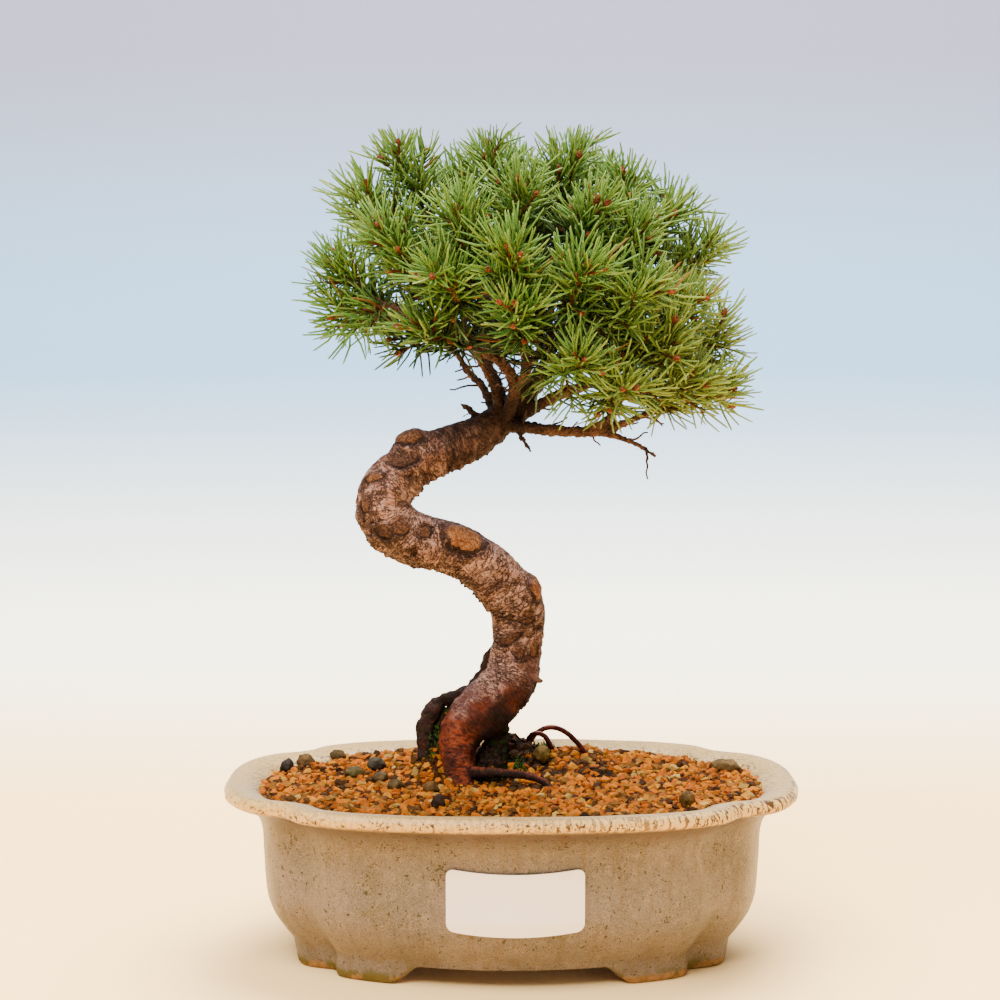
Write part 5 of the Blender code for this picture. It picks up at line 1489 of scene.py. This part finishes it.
def soilPattern(gapShadeBedMaterial, grainMaterial):
    # Two layers of grains and one of crumbs, strewn over the bed
    p = Pattern("clayGrains")
    grains = p.ask("Grains", "Collection")
    apart = p.ask("Grains apart", "Float", soil["grainApart"] * mm)
    small = p.ask("Smallest", "Float", soil["grainSmall"])
    large = p.ask("Largest", "Float", soil["grainLarge"])
    crumbApart = p.ask("Crumbs apart", "Float", soil["crumbApart"] * mm)
    seed = p.ask("Seed", "Int", soil["seed"])
    keep = p.attribute("keep")
    stock = p.get("GeometryNodeCollectionInfo", inputs={"Collection": grains, "Separate Children": True,
                                                        "Reset Children": True})
    pieces = [p.painted(p.given(), gapShadeBedMaterial)]
    for n, (gap, low, high) in enumerate(((apart, small, large), (apart, small, large),
                                          (crumbApart, soil["crumbSmall"], soil["crumbLarge"]))):
        spots = p.get("GeometryNodeDistributePointsOnFaces", {"distribute_method": "POISSON"}, {
            "Mesh": p.given(), "Distance Min": gap, "Density Max": soil["density"], "Density Factor": keep,
            "Seed": seed + 7 * n})
        turned = p.turned(p.facing((0, 0, 1)), (0, 0, 1), p.random(0.0, math.tau, seed, 11 + n))
        turned = p.turned(turned, (1, 0, 0), p.random(-1.2, 1.2, seed, 21 + n))
        pick = p.get("FunctionNodeRandomValue", {"data_type": "INT"},
                     {4: 0, 5: soil["variants"] - 1, "Seed": seed + 31 + n}, output=2)
        layer = p.get("GeometryNodeInstanceOnPoints", inputs={
            "Points": spots, "Instance": stock, "Pick Instance": True, "Instance Index": pick,
            "Rotation": turned, "Scale": p.random(low, high, seed, 41 + n)})
        pieces.append(p.painted(p.toned(layer, seed, 51 + n), grainMaterial))
    p.finished(pieces)
    return p


def buildSoil():
    # The bed: top, wall and floor of the packed soil, with its upper side sunk a little
    obj = packedCopy("soil", "soilBed")
    points = coordinates(obj)
    share = soilEdgeShare(points[:, 0], points[:, 1], soil["keepOff"])
    top = points[:, 2] > soilTop(points[:, 0], points[:, 1]) - soil["topReach"]
    points[:, 2] -= soil["bedSink"] * top
    moveTo(obj, points)
    keepAttribute(obj, "keep", "FLOAT", top * np.where(share < 1, 1.0, soil["atWall"]))
    grains = buildGrains()
    applyPattern(obj, soilPattern(gapShadeBedFinish(), grainFinish()), {"Grains": grains})
    for grain in list(grains.objects):
        bpy.data.objects.remove(grain, do_unlink=True)
    bpy.data.collections.remove(grains)
    print("soil", len(obj.data.polygons))
    place(obj, "soil_grains", "soil")


def darkGround(f):
    # Dark, damp soil in the clump by the left root, round the trunk's foot and in a few strewn bits
    across, back = f.axis(0), f.axis(1)
    near = None
    for x, y, wide, deep in soil["damp"]:
        u, v = (across - x) / wide, (back - y) / deep
        gap = u * u + v * v
        near = gap if near is None else f.math("MINIMUM", near, gap)
    return f.band(near + f.noise(5, 3) * 1.2, 1.9, 1.1)


def gapShadeBedFinish():
    # The bed's dark soil colour doubles as painted shade in the gaps between the grains
    f = Finish("soilBed")
    fine = f.noise(1.2, 4, 0.65)
    colour = f.mix(f.band(fine, 0.4, 0.6), (50, 31, 14), (98, 61, 26))
    colour = f.mix(darkGround(f), colour, (22, 17, 14))
    return f.finish(colour, 0.92, fine, 0.8)


def grainFinish():
    f = Finish("clayGrain")
    tone = f.attribute("tone")
    fine = f.noise(0.6, 4, 0.7)
    colour = f.steps(tone, soil["grainTones"])
    colour = f.coats(colour,
                     (f.band(fine, 0.5, 0.3) * 0.55, (104, 62, 16)),
                     (f.band(fine, 0.55, 0.75) * 0.3, (244, 200, 100)),
                     (darkGround(f) * f.band(tone, 0.02, 0.16) * 0.94,
                      f.mix(tone, (24, 19, 16), (70, 52, 36))))
    # A last amber wash, multiplied in
    colour = f.get("ShaderNodeMix", {"data_type": "RGBA", "blend_type": "MULTIPLY"},
                   {0: 0.8, 6: colour, 7: (1, 0.84, 0.40, 1)}, output=2)
    return f.finish(colour, 0.85, fine, 0.25)


# Loose stones, one for each packed one

stones = {
    "colours": [(42, 33, 26), (94, 72, 40), (88, 70, 36), (86, 76, 42), (66, 60, 48), (86, 70, 42),
                (104, 84, 38), (50, 36, 24), (92, 70, 30), (112, 90, 54), (84, 66, 33), (96, 71, 35)],
    "voxel": 0.32, "rough": 0.28, "swell": 0.12,
}


def buildStones():
    for number, shade in enumerate(stones["colours"], 1):
        node = f"stone_{number:02d}"
        obj = packedCopy(node, f"stone{number:02d}")
        voxelSkin(obj, stones["voxel"])
        points = relax(obj)
        shift = Vector((number * 7.1, 0, 0))
        push = np.array([noise.noise(Vector(p) / 2.2 + shift) + 0.5 * noise.noise(Vector(p) / 0.8 + shift)
                         for p in points])
        moveTo(obj, points + normals(obj) * (push * stones["rough"] + stones["swell"])[:, None])
        obj.data.shade_smooth()
        obj.data.materials.append(stoneFinish(number, shade))
        place(obj, "stones", node)
    print("stones", len(stones["colours"]))


def stoneFinish(number, shade):
    f = Finish(f"stone{number:02d}")
    wide = f.noise(2.6, 4, 0.6)
    fine = f.noise(0.5, 4, 0.7)
    light = [min(255, c * 1.3 + 8) for c in shade]
    dark = [c * 0.6 for c in shade]
    colour = f.mix(f.band(wide, 0.4, 0.66), shade, light)
    colour = f.coats(colour, (f.band(fine, 0.5, 0.35) * 0.6, dark), (f.dots(1.3, 0.2, 0.3) * 0.5, light))
    return f.finish(colour, 0.7, fine, 0.15)


# Tie wire

wire = {
    "radius": 0.85, "step": 1.3, "sides": 14,
    "route": [(21, 0, 4.6), (27.6, 0, 4.7), (30.2, 0, 8.5), (30.4, 0, 16), (25, 7, 28), (12, 16, 42),
              (5, 20, 53), (5.2, 20.4, 61), (8.6, 21.4, 66), (13.2, 22, 67.6), (18.2, 22.6, 65.6),
              (23.6, 23.8, 59.6), (27, 22, 48), (32, 12, 30), (33.6, 2, 18), (33.8, 0, 8.5),
              (36.4, 0, 4.7), (43, 0, 4.6)],
    "strand": [(5.4, 20.2, 61), (5.8, 20, 64.5), (8, 19.5, 66.2), (11, 19.5, 65.2), (13.4, 19.8, 61)],
}


def buildWire():
    shapes = []
    for route in (wire["route"], wire["strand"]):
        coarse = smoothPath([(*p, wire["radius"]) for p in route], 8)
        shapes.append(tube(smoothPath(coarse, wire["step"]), wire["sides"], tip=0.3))
    obj = newMesh("tieWire", *joinShapes(shapes), wireFinish())
    outwards(obj)
    place(obj, "brown_wire", "tie_wire")


def wireFinish():
    f = Finish("brownWire")
    wear = f.noise(2.4, 4, 0.6)
    colour = f.mix(f.band(wear, 0.45, 0.7), (74, 28, 22), (128, 66, 52))
    return f.finish(colour, 0.3 + wear * 0.2, wear, 0.05, 0.4, Metallic=0.7)


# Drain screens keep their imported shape

def finishScreens():
    f = Finish("screenPlastic")
    dust = f.band(f.noise(2.5, 4), 0.45, 0.65)
    colour = f.mix(dust * 0.5, (24, 24, 24), (86, 66, 46))
    material = f.finish(colour, 0.55 + dust * 0.2, f.noise(0.8, 3), 0.05)
    for side in ("left", "right"):
        node = frame["nodes"][f"drain_screen_{side}"]
        node.data.materials.clear()
        node.data.materials.append(material)


# Moss and fine roots at the foot of the trunk

moss = {
    "spots": [(-24, 3.5, 3.4), (-21, 6, 3.0), (-18.8, 15, 3.6), (-9, 1.5, 3.0), (-4, 2.6, 2.6), (2, 8, 3.0),
              (10, 20, 3.2), (12, 25, 2.6)],
    "blade": 1.5, "bladeRadius": 0.26, "perSpot": 60, "seed": 9,
}
clumps = {
    "paths": [[(-23, 10.5, 54, 4.6), (-22.6, 10.5, 62, 4.2), (-21.6, 11, 70, 3.4), (-19.4, 11.6, 76, 2.0),
               (-16.6, 12, 79.4, 1.0)],
              [(-8, 8, 54, 5.6), (-6, 9, 61, 5.0), (-4, 10, 66.5, 3.6), (-2, 10.6, 70.5, 1.6)]],
    "voxel": 0.55, "lumps": 0.9, "crumbs": 0.55,
}


def buildMoss():
    rng = random.Random(moss["seed"])
    verts = []
    faces = []
    tones = []
    for x, y, spread in moss["spots"]:
        for k in range(moss["perSpot"]):
            angle, far = rng.uniform(0, math.tau), spread * math.sqrt(rng.random())
            px, py = x + math.cos(angle) * far, y + math.sin(angle) * far * 0.7
            base = Vector((px, py, float(soilTop(px, py)) + rng.uniform(-0.3, 1.4)))
            lean = Vector((rng.uniform(-0.7, 0.7), rng.uniform(-0.9, 0.5), 1)).normalized()
            side = lean.orthogonal().normalized()
            other = lean.cross(side)
            first = len(verts)
            for spin in (0, math.tau / 3, math.tau * 2 / 3):
                verts.append(base + (side * math.cos(spin) + other * math.sin(spin)) * moss["bladeRadius"])
            verts.append(base + lean * moss["blade"] * rng.uniform(0.6, 1.3))
            faces += fanFaces(first, 3, first + 3) + [(first, first + 2, first + 1)]
            tones += [rng.random()] * 4
    obj = newMesh("mossTufts", verts, faces, mossFinish())
    keepAttribute(obj, "tone", "FLOAT", tones)
    place(obj, "needles")


def mossFinish():
    f = Finish("moss")
    return f.finish(f.mix(f.attribute("tone"), (30, 56, 18), (84, 122, 36)), 0.6)


def buildClumps():
    # Dark soil and rootlets held in the fork of the left root and under the trunk's first bend
    shapes = [tube(smoothPath(path, 0.8), 26) for path in clumps["paths"]]
    obj = newMesh("soilClumps", *joinShapes(shapes))
    voxelSkin(obj, clumps["voxel"])
    points = coordinates(obj)
    push = clumps["lumps"] * bumps(points, 2.6, 3) + clumps["crumbs"] * bumps(points, 1.2, 8)
    moveTo(obj, points + normals(obj) * push[:, None])
    obj.data.materials.append(clumpFinish())
    place(obj, "soil_grains")


def clumpFinish():
    f = Finish("soilClump")
    fine = f.noise(0.9, 4, 0.7)
    colour = f.mix(f.band(fine, 0.42, 0.62), (22, 16, 12), (66, 46, 30))
    colour = f.coats(colour,
                     (f.band(f.noise(3.2, 4, 0.6), 0.52, 0.58) * 0.8, (44, 66, 20)),
                     (f.dots(1.9, 0.3, 0.2), (168, 104, 34)))
    return f.finish(colour, 0.9, fine, 0.5)


# Floor, light and camera

view = {"place": (-3.55, -617.4, 208.8), "down": 5.97, "lens": 72, "sensor": 36,
        "glow": 1.6, "world": 0.12, "key": 84, "fill": 8, "top": 80,
        # The paper's shades follow the slope up from a line this far in front and this high
        "shadesFrom": (617, 209)}


def buildStage():
    # A pale floor that runs up into a backdrop behind the pot, with a soft glow of its own
    reach, start, back, bend, top = 3000, -2500, 1400, 500, 3000
    profile = [(start, 0), (back - bend, 0)]
    profile += [(back - bend + bend * math.sin(a), bend - bend * math.cos(a))
                for a in (math.radians(7.5 * k) for k in range(1, 12))]
    profile += [(back, bend), (back, top)]
    verts = [(x, y, z) for y, z in profile for x in (-reach, reach)]
    faces = [(2 * k, 2 * k + 1, 2 * k + 3, 2 * k + 2) for k in range(len(profile) - 1)]
    f = Finish("studioPaper")
    across, depth, height = f.axis(0), f.axis(1), f.axis(2)
    # The floor is cream, then white, the backdrop pale blue and greyer at the top
    front, low = view["shadesFrom"]
    rise = (height - low) / (depth + front)
    colour = f.mix(f.band(rise, -0.27, -0.16), (255, 216, 160, 1), (255, 252, 236, 1))
    colour = f.coats(colour,
                     (f.band(rise, -0.18, -0.03), (134, 164, 188, 1)),
                     (f.band(rise, -0.02, 0.13), (130, 130, 146, 1)))
    # It glows as painted light, but not round the pot's foot, so that the floor keeps its shadow there
    glow = f.mix(f.band(depth, 0, 500), (255, 204, 144, 1), colour)
    u, v = across / 84, depth / 52
    apart = f.math("SQRT", u * u + v * v)
    glow = f.mix(f.band(apart, 1.8, 0.9), glow, (30, 22, 16, 1))
    paper = f.finish(colour, 0.9, Emission_Color=glow, Emission_Strength=view["glow"])
    floor = newMesh("studioFloor", verts, faces, paper)


def areaLight(name, spot, size, power, tint):
    light = bpy.data.lights.new(name, "AREA")
    light.size = size
    light.energy = power
    light.color = tint
    obj = linked(name, light)
    obj.location = spot
    obj.rotation_euler = (Vector((0, 0, 0.14)) - Vector(spot)).to_track_quat("-Z", "Y").to_euler()


def buildLights():
    areaLight("keyLight", (-0.5, -0.9, 1.6), 1.1, view["key"], (1.0, 0.97, 0.92))
    areaLight("fillLight", (1.3, -1.2, 0.7), 1.2, view["fill"], (1.0, 0.97, 0.94))
    areaLight("topLight", (0.2, 0.4, 1.6), 1.0, view["top"], (1.0, 0.99, 0.97))
    world = bpy.data.worlds.new("studio")
    world.use_nodes = True
    background = world.node_tree.nodes["Background"]
    background.inputs["Color"].default_value = (0.95, 0.95, 0.96, 1)
    background.inputs["Strength"].default_value = view["world"]
    bpy.context.scene.world = world


def buildCamera():
    camera = bpy.data.cameras.new("camera")
    camera.lens = view["lens"]
    camera.sensor_width = view["sensor"]
    camera.clip_start = 0.01
    obj = linked("camera", camera)
    obj.location = [c * mm for c in view["place"]]
    obj.rotation_euler = (math.radians(90 - view["down"]), 0, 0)
    bpy.context.scene.camera = obj


def buildTree():
    clear = Clear()
    paths = [wood["trunk"]] + wood["limbs"] + wood["deadStubs"]
    limbs = [smoothPath(path, crown["limbStep"]) for path in paths]
    feet = placeLeaders(shootTips(), limbs, clear)
    twigs = growTwigs(feet, limbs, clear)
    print("shoots placed", len(feet))
    buildTrunk(twigs)
    buildSprays(feet, twigs)


buildCamera()
buildLights()
buildStage()
buildPot()
buildLabel()
buildSoil()
buildStones()
buildWire()
finishScreens()
buildTree()
buildMoss()
buildClumps()
